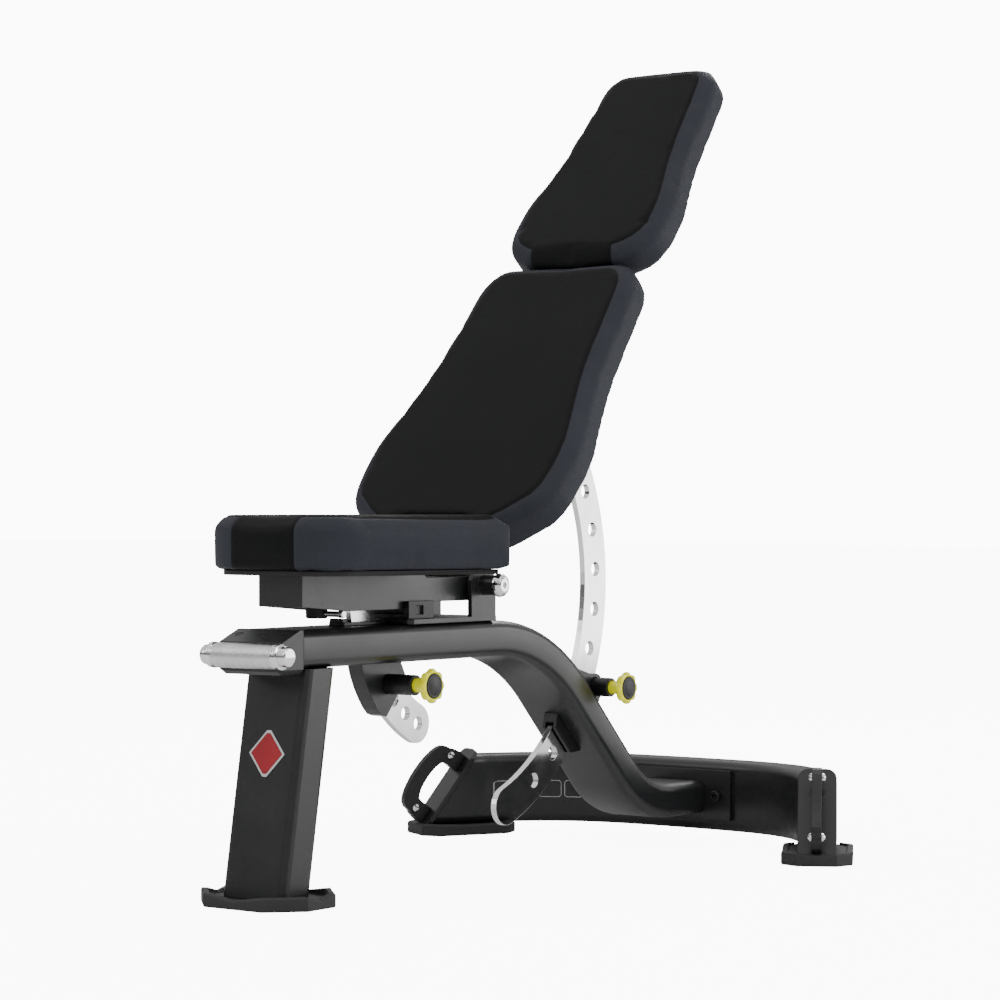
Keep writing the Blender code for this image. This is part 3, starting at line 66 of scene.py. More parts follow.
# ---- places, as built ---------------------------------------------------------------------------
MID_Y = 0.42725
PIVOT = Vector((0, 0.355 - MID_Y, 0.362))
RECLINE = math.radians(50.0)
UP_BACK = Vector((0, math.cos(RECLINE), math.sin(RECLINE)))
OUT_BACK = Vector((0, -math.sin(RECLINE), math.cos(RECLINE)))
BACK = Matrix(((1, UP_BACK.x, OUT_BACK.x, PIVOT.x), (0, UP_BACK.y, OUT_BACK.y, PIVOT.y),
               (0, UP_BACK.z, OUT_BACK.z, PIVOT.z), (0, 0, 0, 1)))
LOWER_FACE = [(0.041, 0.0), (0.041, 0.045), (0.0385, 0.062), (0.036, 0.078), (0.040, 0.091), (0.048, 0.103),
              (0.060, 0.117),
              (0.073, 0.132), (0.088, 0.1400), (0.111, 0.1434), (0.137, 0.1446), (0.162, 0.1436),
              (0.187, 0.1384), (0.212, 0.1323), (0.238, 0.1266), (0.263, 0.1216), (0.288, 0.1176),
              (0.313, 0.1149), (0.339, 0.1130), (0.364, 0.1110), (0.389, 0.1092), (0.412, 0.1077),
              (0.430, 0.1050), (0.443, 0.1000), (0.4525, 0.0910), (0.4570, 0.0780), (0.4575, 0.0)]
HEAD_FACE = [(0.4985, 0.0), (0.4985, 0.058), (0.5015, 0.068), (0.507, 0.079), (0.514, 0.0900),
             (0.525, 0.0985), (0.539, 0.1022), (0.558, 0.1034), (0.578, 0.1030), (0.598, 0.1000),
             (0.619, 0.0953), (0.639, 0.0910), (0.660, 0.0872), (0.680, 0.0842), (0.700, 0.0823),
             (0.721, 0.0806), (0.741, 0.0790), (0.762, 0.0773), (0.782, 0.0755), (0.801, 0.0737),
             (0.813, 0.0708), (0.8215, 0.0640), (0.8265, 0.0530), (0.8275, 0.0)]


# ---- node materials -----------------------------------------------------------------------------
class Nodes:
    """Short hand for one material's node tree."""

    def __init__(self, name):
        self.mat = bpy.data.materials.new(name)
        self.mat.use_nodes = True
        self.tree = self.mat.node_tree
        self.shader = self.tree.nodes["Principled BSDF"]
        self.coord = self.new("ShaderNodeTexCoord").outputs["Object"]

    def new(self, kind, **values):
        node = self.tree.nodes.new(kind)
        for key, value in values.items():
            setattr(node, key, value)
        return node

    def link(self, a, b):
        self.tree.links.new(a, b)
        return b

    def noise(self, scale, detail=3.0, rough=0.5, coord=None):
        n = self.new("ShaderNodeTexNoise")
        n.inputs["Scale"].default_value = scale
        n.inputs["Detail"].default_value = detail
        n.inputs["Roughness"].default_value = rough
        self.link(coord or self.coord, n.inputs["Vector"])
        return n.outputs["Fac"]

    def voronoi(self, scale, feature="F1", coord=None):
        n = self.new("ShaderNodeTexVoronoi", feature=feature)
        n.inputs["Scale"].default_value = scale
        self.link(coord or self.coord, n.inputs["Vector"])
        return n.outputs["Distance"]

    def span(self, value, a, b, lo, hi):
        n = self.new("ShaderNodeMapRange")
        n.inputs["From Min"].default_value = a
        n.inputs["From Max"].default_value = b
        n.inputs["To Min"].default_value = lo
        n.inputs["To Max"].default_value = hi
        self.link(value, n.inputs["Value"])
        return n.outputs["Result"]

    def mix(self, fac, a, b):
        n = self.new("ShaderNodeMix", data_type="RGBA")
        self.link(fac, n.inputs["Factor"])
        for socket, value in ((n.inputs[6], a), (n.inputs[7], b)):
            if isinstance(value, tuple):
                socket.default_value = (*value, 1.0)
            else:
                self.link(value, socket)
        return n.outputs[2]

    def math(self, operation, a, b=None):
        n = self.new("ShaderNodeMath", operation=operation)
        for socket, value in zip(n.inputs, (a, b)):
            if value is None:
                continue
            if isinstance(value, (int, float)):
                socket.default_value = value
            else:
                self.link(value, socket)
        return n.outputs[0]

    def attribute(self, name):
        n = self.new("ShaderNodeAttribute")
        n.attribute_name = name
        return n.outputs["Fac"]

    def bump(self, height, strength, distance, bevel=0.0):
        n = self.new("ShaderNodeBump")
        n.inputs["Strength"].default_value = strength
        n.inputs["Distance"].default_value = distance
        self.link(height, n.inputs["Height"])
        if bevel:
            b = self.new("ShaderNodeBevel", samples=6)
            b.inputs["Radius"].default_value = bevel
            self.link(b.outputs["Normal"], n.inputs["Normal"])
        self.link(n.outputs["Normal"], self.shader.inputs["Normal"])

    def set(self, **values):
        for key, value in values.items():
            socket = self.shader.inputs[key.replace("_", " ")]
            if isinstance(value, tuple):
                socket.default_value = (*value, 1.0)
            elif isinstance(value, (int, float)):
                socket.default_value = value
            else:
                self.link(value, socket)


def coated(name, dark, light, rough, grain=900.0, height=0.00025, metallic=0.0, bevel=0.0015, coat=0.0):
    """Powder coat or moulded plastic: faint mottling, orange peel, rounded edges."""
    m = Nodes(name)
    mottle = m.noise(14.0, 4.0, 0.6)
    fine = m.noise(grain, 2.0, 0.6)
    m.set(Base_Color=m.mix(m.span(mottle, 0.35, 0.65, 0.0, 1.0), dark, light), Metallic=metallic,
          Roughness=m.span(m.math("ADD", m.math("MULTIPLY", mottle, 0.6), m.math("MULTIPLY", fine, 0.4)),
                           0.35, 0.65, rough - 0.05, rough + 0.06))
    if coat:
        m.set(Coat_Weight=coat, Coat_Roughness=0.18)
    m.bump(fine, 0.35, height, bevel)
    return m.mat


def plated(name, colour, rough, streak=0.0, bevel=0.0008):
    """Chrome or zinc: thin polishing marks and slight tone changes."""
    m = Nodes(name)
    wide = m.noise(30.0, 3.0, 0.5)
    scale = m.new("ShaderNodeMapping")
    scale.inputs["Scale"].default_value = (30.0, 900.0, 900.0)
    m.link(m.coord, scale.inputs["Vector"])
    marks = m.noise(1.0, 2.0, 0.5, scale.outputs["Vector"])
    low = tuple(c * 0.90 for c in colour)
    m.set(Base_Color=m.mix(m.span(wide, 0.3, 0.7, 0.0, 1.0), low, colour), Metallic=1.0,
          Roughness=m.span(m.math("ADD", m.math("MULTIPLY", wide, 0.5), m.math("MULTIPLY", marks, 0.5)),
                           0.3, 0.7, max(0.02, rough - 0.03), rough + 0.05))
    m.bump(marks, 0.05 + streak, 0.00008, bevel)
    return m.mat


BLACK, SLATE = (0.0018, 0.0018, 0.0021), (0.0290, 0.0315, 0.0410)


def two_tone_vinyl(name):
    """Vinyl in black and slate panels; the attribute 'panel' is metres inside the black one."""
    m = Nodes(name)
    # leather grain: small cells with fine creases between them, and pores
    cells = m.span(m.voronoi(620.0, "DISTANCE_TO_EDGE"), 0.0, 0.25, 0.0, 1.0)
    pores = m.noise(1500.0, 2.0, 0.6)
    grain = m.math("ADD", m.math("MULTIPLY", cells, 0.8), m.math("MULTIPLY", pores, 0.35))
    broad = m.noise(9.0, 4.0, 0.6)
    worn = m.math("ADD", m.math("MULTIPLY", grain, 0.5), m.math("MULTIPLY", broad, 0.5))
    panel = m.attribute("panel")
    inside = m.span(panel, -0.0003, 0.0003, 0.0, 1.0)
    shade = m.span(broad, 0.3, 0.7, 0.0, 1.0)
    black = m.mix(shade, tuple(c * 0.88 for c in BLACK), tuple(c * 1.12 for c in BLACK))
    slate = m.mix(shade, tuple(c * 0.90 for c in SLATE), tuple(c * 1.10 for c in SLATE))
    seam = m.math("SUBTRACT", 1.0, m.span(m.math("ABSOLUTE", panel), 0.0, 0.0012, 0.0, 1.0))
    base = m.mix(inside, slate, black)
    m.set(Base_Color=m.mix(m.math("MULTIPLY", seam, 0.55), base, (0.004, 0.004, 0.005)),
          Roughness=m.span(worn, 0.2, 0.9, 0.46, 0.66), Specular_IOR_Level=0.16)
    m.bump(grain, 0.30, 0.00025)
    return m.mat


def knurl(name):
    m = Nodes(name)
    wide = m.noise(40.0, 3.0, 0.5)
    m.set(Base_Color=m.mix(m.span(wide, 0.3, 0.7, 0.0, 1.0), (0.66, 0.66, 0.67), (0.80, 0.80, 0.81)),
          Metallic=1.0,
          Roughness=m.span(wide, 0.3, 0.7, 0.16, 0.26))
    m.bump(m.noise(1500.0, 2.0, 0.5), 0.15, 0.00008)
    return m.mat


FRAME = coated("powder_charcoal", (0.0105, 0.0107, 0.0118), (0.0135, 0.0138, 0.0150), 0.34, coat=0.15)
TRIM = coated("black_satin", (0.0060, 0.0060, 0.0064), (0.0090, 0.0090, 0.0095), 0.40)
PLASTIC = coated("black_plastic", (0.0070, 0.0070, 0.0074), (0.0100, 0.0100, 0.0105), 0.42, grain=1400.0)
RUBBER = coated("foot_rubber", (0.0180, 0.0180, 0.0186), (0.0250, 0.0250, 0.0258), 0.62, grain=700.0,
                height=0.0004)
YELLOW = coated("yellow_plastic", (0.84, 0.82, 0.002), (0.92, 0.89, 0.003), 0.30, grain=500.0, height=0.0001,
                coat=0.3)
bright = YELLOW.node_tree.nodes["Principled BSDF"]  # painted glow: the yellow plastic is given a faint emission of its own, though it is no lamp
bright.inputs["Emission Color"].default_value = (0.80, 0.84, 0.0, 1.0)
bright.inputs["Emission Strength"].default_value = 0.25
BOARD = coated("painted_plywood", (0.0070, 0.0070, 0.0072), (0.0120, 0.0120, 0.0124), 0.65, grain=400.0,
               height=0.0004)
BADGE = coated("badge_red", (0.30, 0.010, 0.016), (0.38, 0.014, 0.022), 0.38, grain=900.0, height=0.00008)
WHITE = coated("print_white", (0.55, 0.55, 0.56), (0.66, 0.66, 0.67), 0.45, grain=900.0, height=0.00008)
CHROME = plated("chrome_plate", (0.90, 0.90, 0.91), 0.07)
SATIN = plated("satin_zinc", (0.88, 0.88, 0.89), 0.20, streak=0.1)
STEEL = plated("plain_steel", (0.46, 0.46, 0.47), 0.32, streak=0.1)
KNURL = knurl("knurled_chrome")
VINYL = two_tone_vinyl("two_tone_vinyl")

LOOK = {"frame": FRAME, "trim": TRIM, "plastic": PLASTIC, "chrome": CHROME, "satin": SATIN, "steel": STEEL,
        "rubber": RUBBER, "yellow": YELLOW, "board": BOARD, "leather": VINYL, "badge": BADGE}
for part in frame["record"]["subparts"]:
    if part["node"] not in NODES:
        continue
    mesh = NODES[part["node"]].data
    mesh.materials.clear()
    mesh.materials.append(TRIM if part["node"].startswith("block_screw") else LOOK[part["material_slot"]])
    mesh.shade_smooth()
    mesh.set_sharp_from_angle(angle=math.radians(32))


# ---- mesh tools ---------------------------------------------------------------------------------
def make(name, verts, faces, material, body, smooth=35.0):
    data = bpy.data.meshes.new(name)
    data.from_pydata([tuple(v) for v in verts], [], faces)
    bm = bmesh.new()
    bm.from_mesh(data)
    bmesh.ops.remove_doubles(bm, verts=bm.verts, dist=1e-6)
    bmesh.ops.recalc_face_normals(bm, faces=bm.faces)
    bm.to_mesh(data)
    bm.free()
    data.shade_smooth()
    data.set_sharp_from_angle(angle=math.radians(smooth))
    data.materials.append(material)
    obj = bpy.data.objects.new(name, data)
    bpy.context.scene.collection.objects.link(obj)
    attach(obj, body)
    return obj


def turned(profile, count, centre, radius=None):
    """Revolve (r, x) points about an X axis; radius(r, x, angle) may shape it."""
    verts, rings = [], []
    for r, x in profile:
        if r < 1e-9:
            rings.append([len(verts)])
            verts.append(Vector((x, centre[1], centre[2])))
            continue
        ring = []
        for i in range(count):
            a = 2 * math.pi * i / count
            rr = radius(r, x, a) if radius else r
            ring.append(len(verts))
            verts.append(Vector((x, centre[1] + rr * math.cos(a), centre[2] + rr * math.sin(a))))
        rings.append(ring)
    faces = []
    for a, b in zip(rings, rings[1:]):
        for i in range(count):
            j = (i + 1) % count
            if len(a) == 1:
                faces.append((a[0], b[i], b[j]))
            elif len(b) == 1:
                faces.append((a[i], a[j], b[0]))
            else:
                faces.append((a[i], a[j], b[j], b[i]))
    return verts, faces


def signed_distance(points, loop):
    """Distance inside (+) or outside (-) a closed outline, for an (n, 2) array."""
    a = np.array(loop, float)
    b = np.roll(a, -1, axis=0)
    best = np.full(len(points), 1e9)
    inside = np.zeros(len(points), bool)
    for p, q in zip(a, b):
        d = q - p
        t = np.clip(((points - p) @ d) / max(1e-12, d @ d), 0, 1)
        best = np.minimum(best, np.linalg.norm(points - (p + t[:, None] * d), axis=1))
        crosses = (p[1] > points[:, 1]) != (q[1] > points[:, 1])
        with np.errstate(divide="ignore", invalid="ignore"):
            x = p[0] + (points[:, 1] - p[1]) / (q[1] - p[1]) * (q[0] - p[0])
        inside ^= crosses & (points[:, 0] < x)
    return np.where(inside, best, -best)


def loft(rings, close=False):
    """Skin a row of equal rings; the ends are capped unless the row closes on itself."""
    n, count = len(rings[0]), len(rings)
    verts = [v for ring in rings for v in ring]
    faces = []
    for k in range(count if close else count - 1):
        a, b = k * n, ((k + 1) % count) * n
        faces += [(a + i, a + (i + 1) % n, b + (i + 1) % n, b + i) for i in range(n)]
    if not close:
        faces.append(tuple(range(n - 1, -1, -1)))
        faces.append(tuple(range((count - 1) * n, count * n)))
    return verts, faces


def offset_loop(loop, d):
    """Move a counter-clockwise loop outwards by d (inwards when negative)."""
    out = []
    n = len(loop)
    for i in range(n):
        p0, p1, p2 = (Vector(loop[(i + k) % n]) for k in (-1, 0, 1))
        e0, e1 = (p1 - p0).normalized(), (p2 - p1).normalized()
        n0, n1 = Vector((e0.y, -e0.x)), Vector((e1.y, -e1.x))
        bis = (n0 + n1).normalized()
        out.append(tuple(p1 + bis * (d / max(0.5, bis.dot(n0)))))
    return out


def curve_through(points, steps=4):
    """Smooth open chain through the points (Catmull-Rom)."""
    chain = [2 * np.array(points[0]) - np.array(points[1])] + [np.array(p) for p in points]
    chain.append(2 * chain[-1] - chain[-2])
    out = []
    for p0, p1, p2, p3 in zip(chain, chain[1:], chain[2:], chain[3:]):
        for k in range(steps):
            t = k / steps
            out.append(tuple(0.5 * (2 * p1 + (p2 - p0) * t + (2 * p0 - 5 * p1 + 4 * p2 - p3) * t ** 2
                                    + (3 * p1 - p0 - 3 * p2 + p3) * t ** 3)))
    return out + [tuple(points[-1])]


def rounded(hx, hy, r, n):
    pts = []
    for cx, cy, start in ((hx - r, hy - r, 0.0), (r - hx, hy - r, 0.5), (r - hx, r - hy, 1.0),
                          (hx - r, r - hy, 1.5)):
        angles = [math.pi * (start + 0.5 * k / n) for k in range(n + 1)]
        pts += [(cx + r * math.cos(a), cy + r * math.sin(a)) for a in angles]
    return pts


# ---- cushions -----------------------------------------------------------------------------------
def cushion(node, body, rings, to_local, panel_of, floor, swell, cap):
    """Foam pad under sewn vinyl: skin the rings, inflate the form as cloth, then sink the seams."""
    verts, faces = loft(rings)
    data = bpy.data.meshes.new(node + "_sewn")
    data.from_pydata([tuple(v) for v in verts], [], faces)
    bm = bmesh.new()
    bm.from_mesh(data)
    bmesh.ops.recalc_face_normals(bm, faces=bm.faces)
    bm.to_mesh(data)
    bm.free()
    obj = bpy.data.objects.new(node + "_sewn", data)
    bpy.context.scene.collection.objects.link(obj)
    bpy.context.view_layer.objects.active = obj
    for o in bpy.context.selected_objects:
        o.select_set(False)
    obj.select_set(True)
    mod = obj.modifiers.new("remesh", "REMESH")
    mod.mode = "VOXEL"
    mod.voxel_size = 0.0040
    bpy.ops.object.modifier_apply(modifier="remesh")
    mesh = obj.data
    n = len(mesh.vertices)
    co = np.zeros(n * 3)
    mesh.vertices.foreach_get("co", co)
    start = co.reshape(-1, 3).copy()
    cloth = obj.modifiers.new("cloth", "CLOTH")
    s = cloth.settings
    s.quality = 4
    s.mass = 0.3
    s.tension_stiffness = s.compression_stiffness = 22
    s.shear_stiffness = 12
    s.bending_stiffness = 8
    s.use_pressure = True
    s.uniform_pressure_force = 4.0
    s.effector_weights.gravity = 0.0
    scene = bpy.context.scene
    cloth.point_cache.frame_start, cloth.point_cache.frame_end = 1, 20
    for f in range(1, 21):
        scene.frame_set(f)
    bpy.ops.object.modifier_apply(modifier="cloth")
    scene.frame_set(1)
    mesh = obj.data
    mesh.vertices.foreach_get("co", co)
    moved = co.reshape(-1, 3)
    step = moved - start
    size = np.linalg.norm(step, axis=1, keepdims=True)
    step *= np.minimum(1.0, cap / np.maximum(size, 1e-9))
    local = np.array(to_local, float)
    out = local[2, :3]
    # keep the crown on the broad face and let the walls pull in a little
    normals = np.zeros(n * 3)
    mesh.vertices.foreach_get("normal", normals)
    normals = normals.reshape(-1, 3)
    facing = normals @ out
    start = start + step - normals * swell * (0.35 + 0.65 * (1 - np.clip(facing, 0, 1)))[:, None]
    mesh.vertices.foreach_set("co", start.ravel())
    # even out the remesh's steps, then refine once
    mod = obj.modifiers.new("even", "SMOOTH")
    mod.factor, mod.iterations = 0.5, 4
    bpy.ops.object.modifier_apply(modifier="even")
    mod = obj.modifiers.new("refine", "SUBSURF")
    mod.levels = mod.render_levels = 1
    bpy.ops.object.modifier_apply(modifier="refine")
    mesh = obj.data
    n = len(mesh.vertices)
    co = np.zeros(n * 3)
    normals = np.zeros(n * 3)
    mesh.vertices.foreach_get("co", co)
    mesh.vertices.foreach_get("normal", normals)
    p, normals = co.reshape(-1, 3), normals.reshape(-1, 3)
    lp = p @ local[:3, :3].T + local[:3, 3]
    ln = normals @ local[:3, :3].T
    panel = panel_of(lp)
    groove = np.exp(-(panel / 0.0018) ** 2) * np.clip(ln[:, 2] + 0.9, 0, 1)
    rows = np.exp(-((np.abs(panel) - 0.0055) / 0.0030) ** 2) * 0.25
    p = p - normals * (groove * 0.0009 - rows * 0.0006)[:, None]
    lp = p @ local[:3, :3].T + local[:3, 3]
    lift = np.maximum(0.0, floor - lp[:, 2])
    p = p + out * lift[:, None]
    mesh.vertices.foreach_set("co", p.ravel())
    attribute = mesh.attributes.new("panel", "FLOAT", "POINT")
    attribute.data.foreach_set("value", panel.astype(np.float32))
    mesh.materials.clear()
    mesh.materials.append(VINYL)
    mesh.shade_smooth()
    mesh.update()
    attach(obj, body)
    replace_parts(obj, node)
    return obj


def face_loop(half):
    right = [(w, s) for s, w in half if w > 0]
    return right + [(-w, s) for w, s in reversed(right)]


def pad_panel(half, strip_half, low_end):
    loop = face_loop(half)

    def panel(lp):
        face = signed_distance(lp[:, :2], loop)
        face = np.where(lp[:, 2] < 0.065, -0.02, face)
        # the black runs on over the pad's lower end between its side panels
        strip = strip_half - np.abs(lp[:, 0])
        strip = np.where(lp[:, 1] > low_end + 0.03, -0.02, strip)
        return np.maximum(face, strip)
    return panel


PAD_FLOOR, PAD_BACK, PAD_FACE, PAD_EDGE, PAD_EDGE_H = 0.0378, 0.0378, 0.0875, 0.018, 0.016


def pad_rings(half, low_end):
    """Back pad: flat rear, upright wall, and a rounded slope up to the face."""
    loop = face_loop(curve_through(half))
    levels = [(PAD_EDGE - 0.002, PAD_BACK), (PAD_EDGE, PAD_BACK + 0.002), (PAD_EDGE, PAD_FACE - PAD_EDGE_H)]
    levels += [(PAD_EDGE * (1 - 0.55 * k / 3), PAD_FACE - PAD_EDGE_H * (1 - (k / 3) * 0.68)) for k in (1, 2,
                                                                                                       3)]
    levels.append((0.0, PAD_FACE))
    rings = []
    for d, z in levels:
        ring = []
        for x, up in offset_loop(loop, d + 0.0015):
            least = low_end - 0.018 * min(1.0, max(0.0, (abs(x) - 0.045) / 0.035))
            ring.append(BACK @ Vector((x, max(up, least), z)))
        rings.append(ring)
    return rings


BACK_IN = BACK.inverted()
cushion("lower_cushion", "back", pad_rings(LOWER_FACE, 0.036), BACK_IN, pad_panel(LOWER_FACE, 0.088, 0.036),
        PAD_FLOOR, 0.0006, 0.0028)
cushion("head_cushion", "back", pad_rings(HEAD_FACE, 0.0), BACK_IN, pad_panel(HEAD_FACE, 0.064, 0.4985),
        PAD_FLOOR, 0.0006, 0.0028)

SEAT_HW0, SEAT_HW1, SEAT_R0 = 0.1085, 0.1725, 0.066
SEAT_Y0, SEAT_Y1 = -0.0105 - MID_Y, 0.239 - MID_Y
SEAT_STRIP = 0.0474                      # half width of the black strip down the seat's front


def seat_top_loop(inset=0.013):
    taper = math.atan2(SEAT_HW1 - SEAT_HW0, SEAT_Y1 - SEAT_Y0 - SEAT_R0)
    right = [(SEAT_HW1 - inset * 1.05, SEAT_Y1 - inset)]
    left = [(-right[0][0], right[0][1])]
    cx, r = SEAT_HW0 - SEAT_R0, SEAT_R0 - inset
    a0, a1 = math.pi + taper, 1.5 * math.pi
    fl = [(-cx + r * math.cos(a0 + (a1 - a0) * i / 10),
           SEAT_Y0 + SEAT_R0 + r * math.sin(a0 + (a1 - a0) * i / 10))
          for i in range(11)]
    return right + left + fl + [(-x, y) for x, y in reversed(fl)]


def seat_panel(lp):
    face = signed_distance(lp[:, :2], seat_top_loop())
    face = np.where(lp[:, 2] < 0.436, -0.02, face)
    strip = SEAT_STRIP - np.abs(lp[:, 0])
    strip = np.where(lp[:, 1] > SEAT_Y0 + 0.03, -0.02, strip)
    return np.maximum(face, strip)


def seat_rings():
    """Seat pad: upright wall, then a flat slope in to the top."""
    outline = seat_top_loop(0.0)
    levels = [(0.0010, 0.3850), (0.0018, 0.3860), (0.0018, 0.4345), (-0.0050, 0.4415), (-0.0115, 0.4480)]
    return [[Vector((x, y, z)) for x, y in offset_loop(outline, d)] for d, z in levels]


cushion("seat_cushion", "seat", seat_rings(), Matrix.Identity(4), seat_panel, 0.3850, 0.0003, 0.0016)

# ---- smooth tubes -------------------------------------------------------------------------------
BEAM_Y, BEAM_K2, BEAM_K4, BEAM_END_X, BEAM_D, BEAM_H, BEAM_Z = 0.892, 0.256, 16.7, 0.290, 0.050, 0.096, 0.062
BEAM_RAKE, BEAM_END_S = 0.745, 0.013 + (0.083 - 0.062) * 0.745 - 0.0063 * math.sqrt(1 + 0.745 ** 2)
WALL = 0.003


def hollow(outer, inner, frames):
    rings = [[m @ Vector((*p, 0)) for p in outer] for m in frames]
    return loft(rings + [[m @ Vector((*p, 0)) for p in inner] for m in reversed(frames)], close=True)


def axes(origin, x_axis, y_axis, z_axis):
    return Matrix([(x_axis[k], y_axis[k], z_axis[k], origin[k]) for k in range(3)] + [(0, 0, 0, 1)])


def beam_at(x):
    """Centre line of the bowed beam and how far it has turned."""
    y = BEAM_Y - BEAM_K2 * x ** 2 - BEAM_K4 * x ** 4 - MID_Y
    return y, math.atan(2 * BEAM_K2 * x + 4 * BEAM_K4 * x ** 3)


def smooth_beam():
    end_y, end_a = beam_at(BEAM_END_X)
    along = Vector((math.cos(end_a), -math.sin(end_a), 0))
    normal = Vector((math.sin(end_a), math.cos(end_a), 0))
    right = []
    for k in range(1, 41):
        x = BEAM_END_X * k / 40 * 0.93
        y, a = beam_at(x)
        right.append(axes((x, y, BEAM_Z), (math.sin(a), math.cos(a), 0), (0, 0, 1),
                          (math.cos(a), -math.sin(a), 0)))
    for k in range(1, 9):
        s_here = -0.034 + (BEAM_END_S + 0.034) * k / 8
        lean = BEAM_RAKE * (k / 8) ** 1.5
        at = Vector((BEAM_END_X, end_y, BEAM_Z)) + along * s_here
        right.append(axes(at, normal, Vector((0, 0, 1)) - along * lean, along))
    flip = Matrix.Diagonal((-1, 1, 1, 1))
    middle = axes((0, BEAM_Y - MID_Y, BEAM_Z), (0, 1, 0), (0, 0, 1), (1, 0, 0))
    frames = [flip @ m for m in reversed(right)] + [middle] + right
    verts, faces = hollow(rounded(BEAM_D / 2, BEAM_H / 2, 0.012, 8),
                          rounded(BEAM_D / 2 - WALL, BEAM_H / 2 - WALL, 0.009, 8), frames)
    piece = make("rear_beam_smooth", verts, faces, FRAME, "base", smooth=40)
    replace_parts(piece, "rear_beam")


SPINE_Z, SPINE_LOW_Z, BEND_Y, BEND_UP, BEND_LOW, SLOPE = 0.2945, 0.0605, 0.385, 0.257, 0.145, math.pi / 4


def smooth_spine():
    lo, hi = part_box("spine_tube")
    path = [(lo.y, SPINE_Z, 0.0)]
    steps = 32
    for k in range(steps + 1):
        a = SLOPE * k / steps
        path.append((BEND_Y - MID_Y + BEND_UP * math.sin(a), SPINE_Z - BEND_UP * (1 - math.cos(a)), a))
    drop = SPINE_Z - SPINE_LOW_Z - (BEND_UP + BEND_LOW) * (1 - math.cos(SLOPE))
    turn_y = path[-1][0] + drop / math.tan(SLOPE)
    for k in range(steps, -1, -1):
        a = SLOPE * k / steps
        path.append((turn_y + BEND_LOW * (math.sin(SLOPE) - math.sin(a)),
                     SPINE_LOW_Z + BEND_LOW * (1 - math.cos(a)), a))
    path.append((hi.y, SPINE_LOW_Z, 0.0))
    frames = [axes((0, y, z), (1, 0, 0), (0, math.sin(a), math.cos(a)), (0, math.cos(a), -math.sin(a)))
              for y, z, a in path]
    verts, faces = hollow(rounded(0.0475, 0.0225, 0.012, 8), rounded(0.0445, 0.0195, 0.009, 8), frames)
    piece = make("spine_tube_smooth", verts, faces, FRAME, "base", smooth=40)
    # slots that the two sector plates swing through
    for tag, inner, outer, start, stop in (("seat", 0.159, 0.2155, 140.0, 177.0),
                                           ("back", 0.276, 0.333, 20.0, 48.0)):
        angles = [math.radians(-start - (stop - start) * k / 12) for k in range(13)]
        loop = [(outer * math.cos(a), outer * math.sin(a)) for a in angles]
        loop += [(inner * math.cos(a), inner * math.sin(a)) for a in reversed(angles)]
        sides = [[PIVOT + Vector((x, y, z)) for y, z in loop] for x in (-0.0062, 0.0062)]
        verts, faces = loft(sides)
        data = bpy.data.meshes.new(tag + "_slot_tool")
        data.from_pydata([tuple(v) for v in verts], [], faces)
        bm = bmesh.new()
        bm.from_mesh(data)
        bmesh.ops.recalc_face_normals(bm, faces=bm.faces)
        bm.to_mesh(data)
        bm.free()
        tool = bpy.data.objects.new(tag + "_slot_tool", data)
        bpy.context.scene.collection.objects.link(tool)
        bpy.context.view_layer.objects.active = piece
        mod = piece.modifiers.new("slot", "BOOLEAN")
        mod.operation, mod.solver, mod.object = "DIFFERENCE", "EXACT", tool
        bpy.ops.object.modifier_apply(modifier="slot")
        bpy.data.objects.remove(tool, do_unlink=True)
    piece.data.shade_smooth()
    piece.data.set_sharp_from_angle(angle=math.radians(40))
    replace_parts(piece, "spine_tube")


smooth_beam()
smooth_spine()


# ---- printed marks, all generic -----------------------------------------------------------------
def beam_front(x, z):
    """Point just off the left front face, square out from the centre line's point at x."""
    y, a = beam_at(abs(x))
    off = BEAM_D / 2 + 0.0003
    return Vector((x + off * math.sin(a), y - off * math.cos(a), z))


def printed_line(name, corners, width):
    """Closed thin line on the beam's front face through (x, z) corners."""
    inner = offset_loop(corners, -width)
    n = len(corners)
    verts, faces = [], []
    for lift in (0.0, 0.0003):
        for loop in (corners, inner):
            verts += [beam_front(x, z) - Vector((0, lift, 0)) for x, z in loop]
    for i in range(n):
        j = (i + 1) % n
        faces += [(2 * n + i, 2 * n + j, 3 * n + j, 3 * n + i), (i, n + i, n + j, j),
                  (i, j, 2 * n + j, 2 * n + i),
                  (n + i, 3 * n + i, 3 * n + j, n + j)]
    make(name, verts, faces, WHITE, "base", smooth=60)


def bar_loop(x0, x1, z0, z1, c, steps=6):
    """Counter-clockwise bevelled rectangle with points along its long sides."""
    low = [(x0 + c + (x1 - x0 - 2 * c) * k / steps, z0) for k in range(steps + 1)]
    high = [(x1 - c - (x1 - x0 - 2 * c) * k / steps, z1) for k in range(steps + 1)]
    return low + [(x1, z0 + c), (x1, z1 - c)] + high + [(x0, z1 - c), (x0, z0 + c)]


for k, (x0, x1) in enumerate(((-0.2690, -0.2530), (-0.2210, -0.1900), (-0.1860, -0.1590),
                              (-0.1545, -0.1280))):
    printed_line("beam_print_%d" % (k + 1), bar_loop(x0, x1, 0.0490, 0.0730, 0.003), 0.0011)


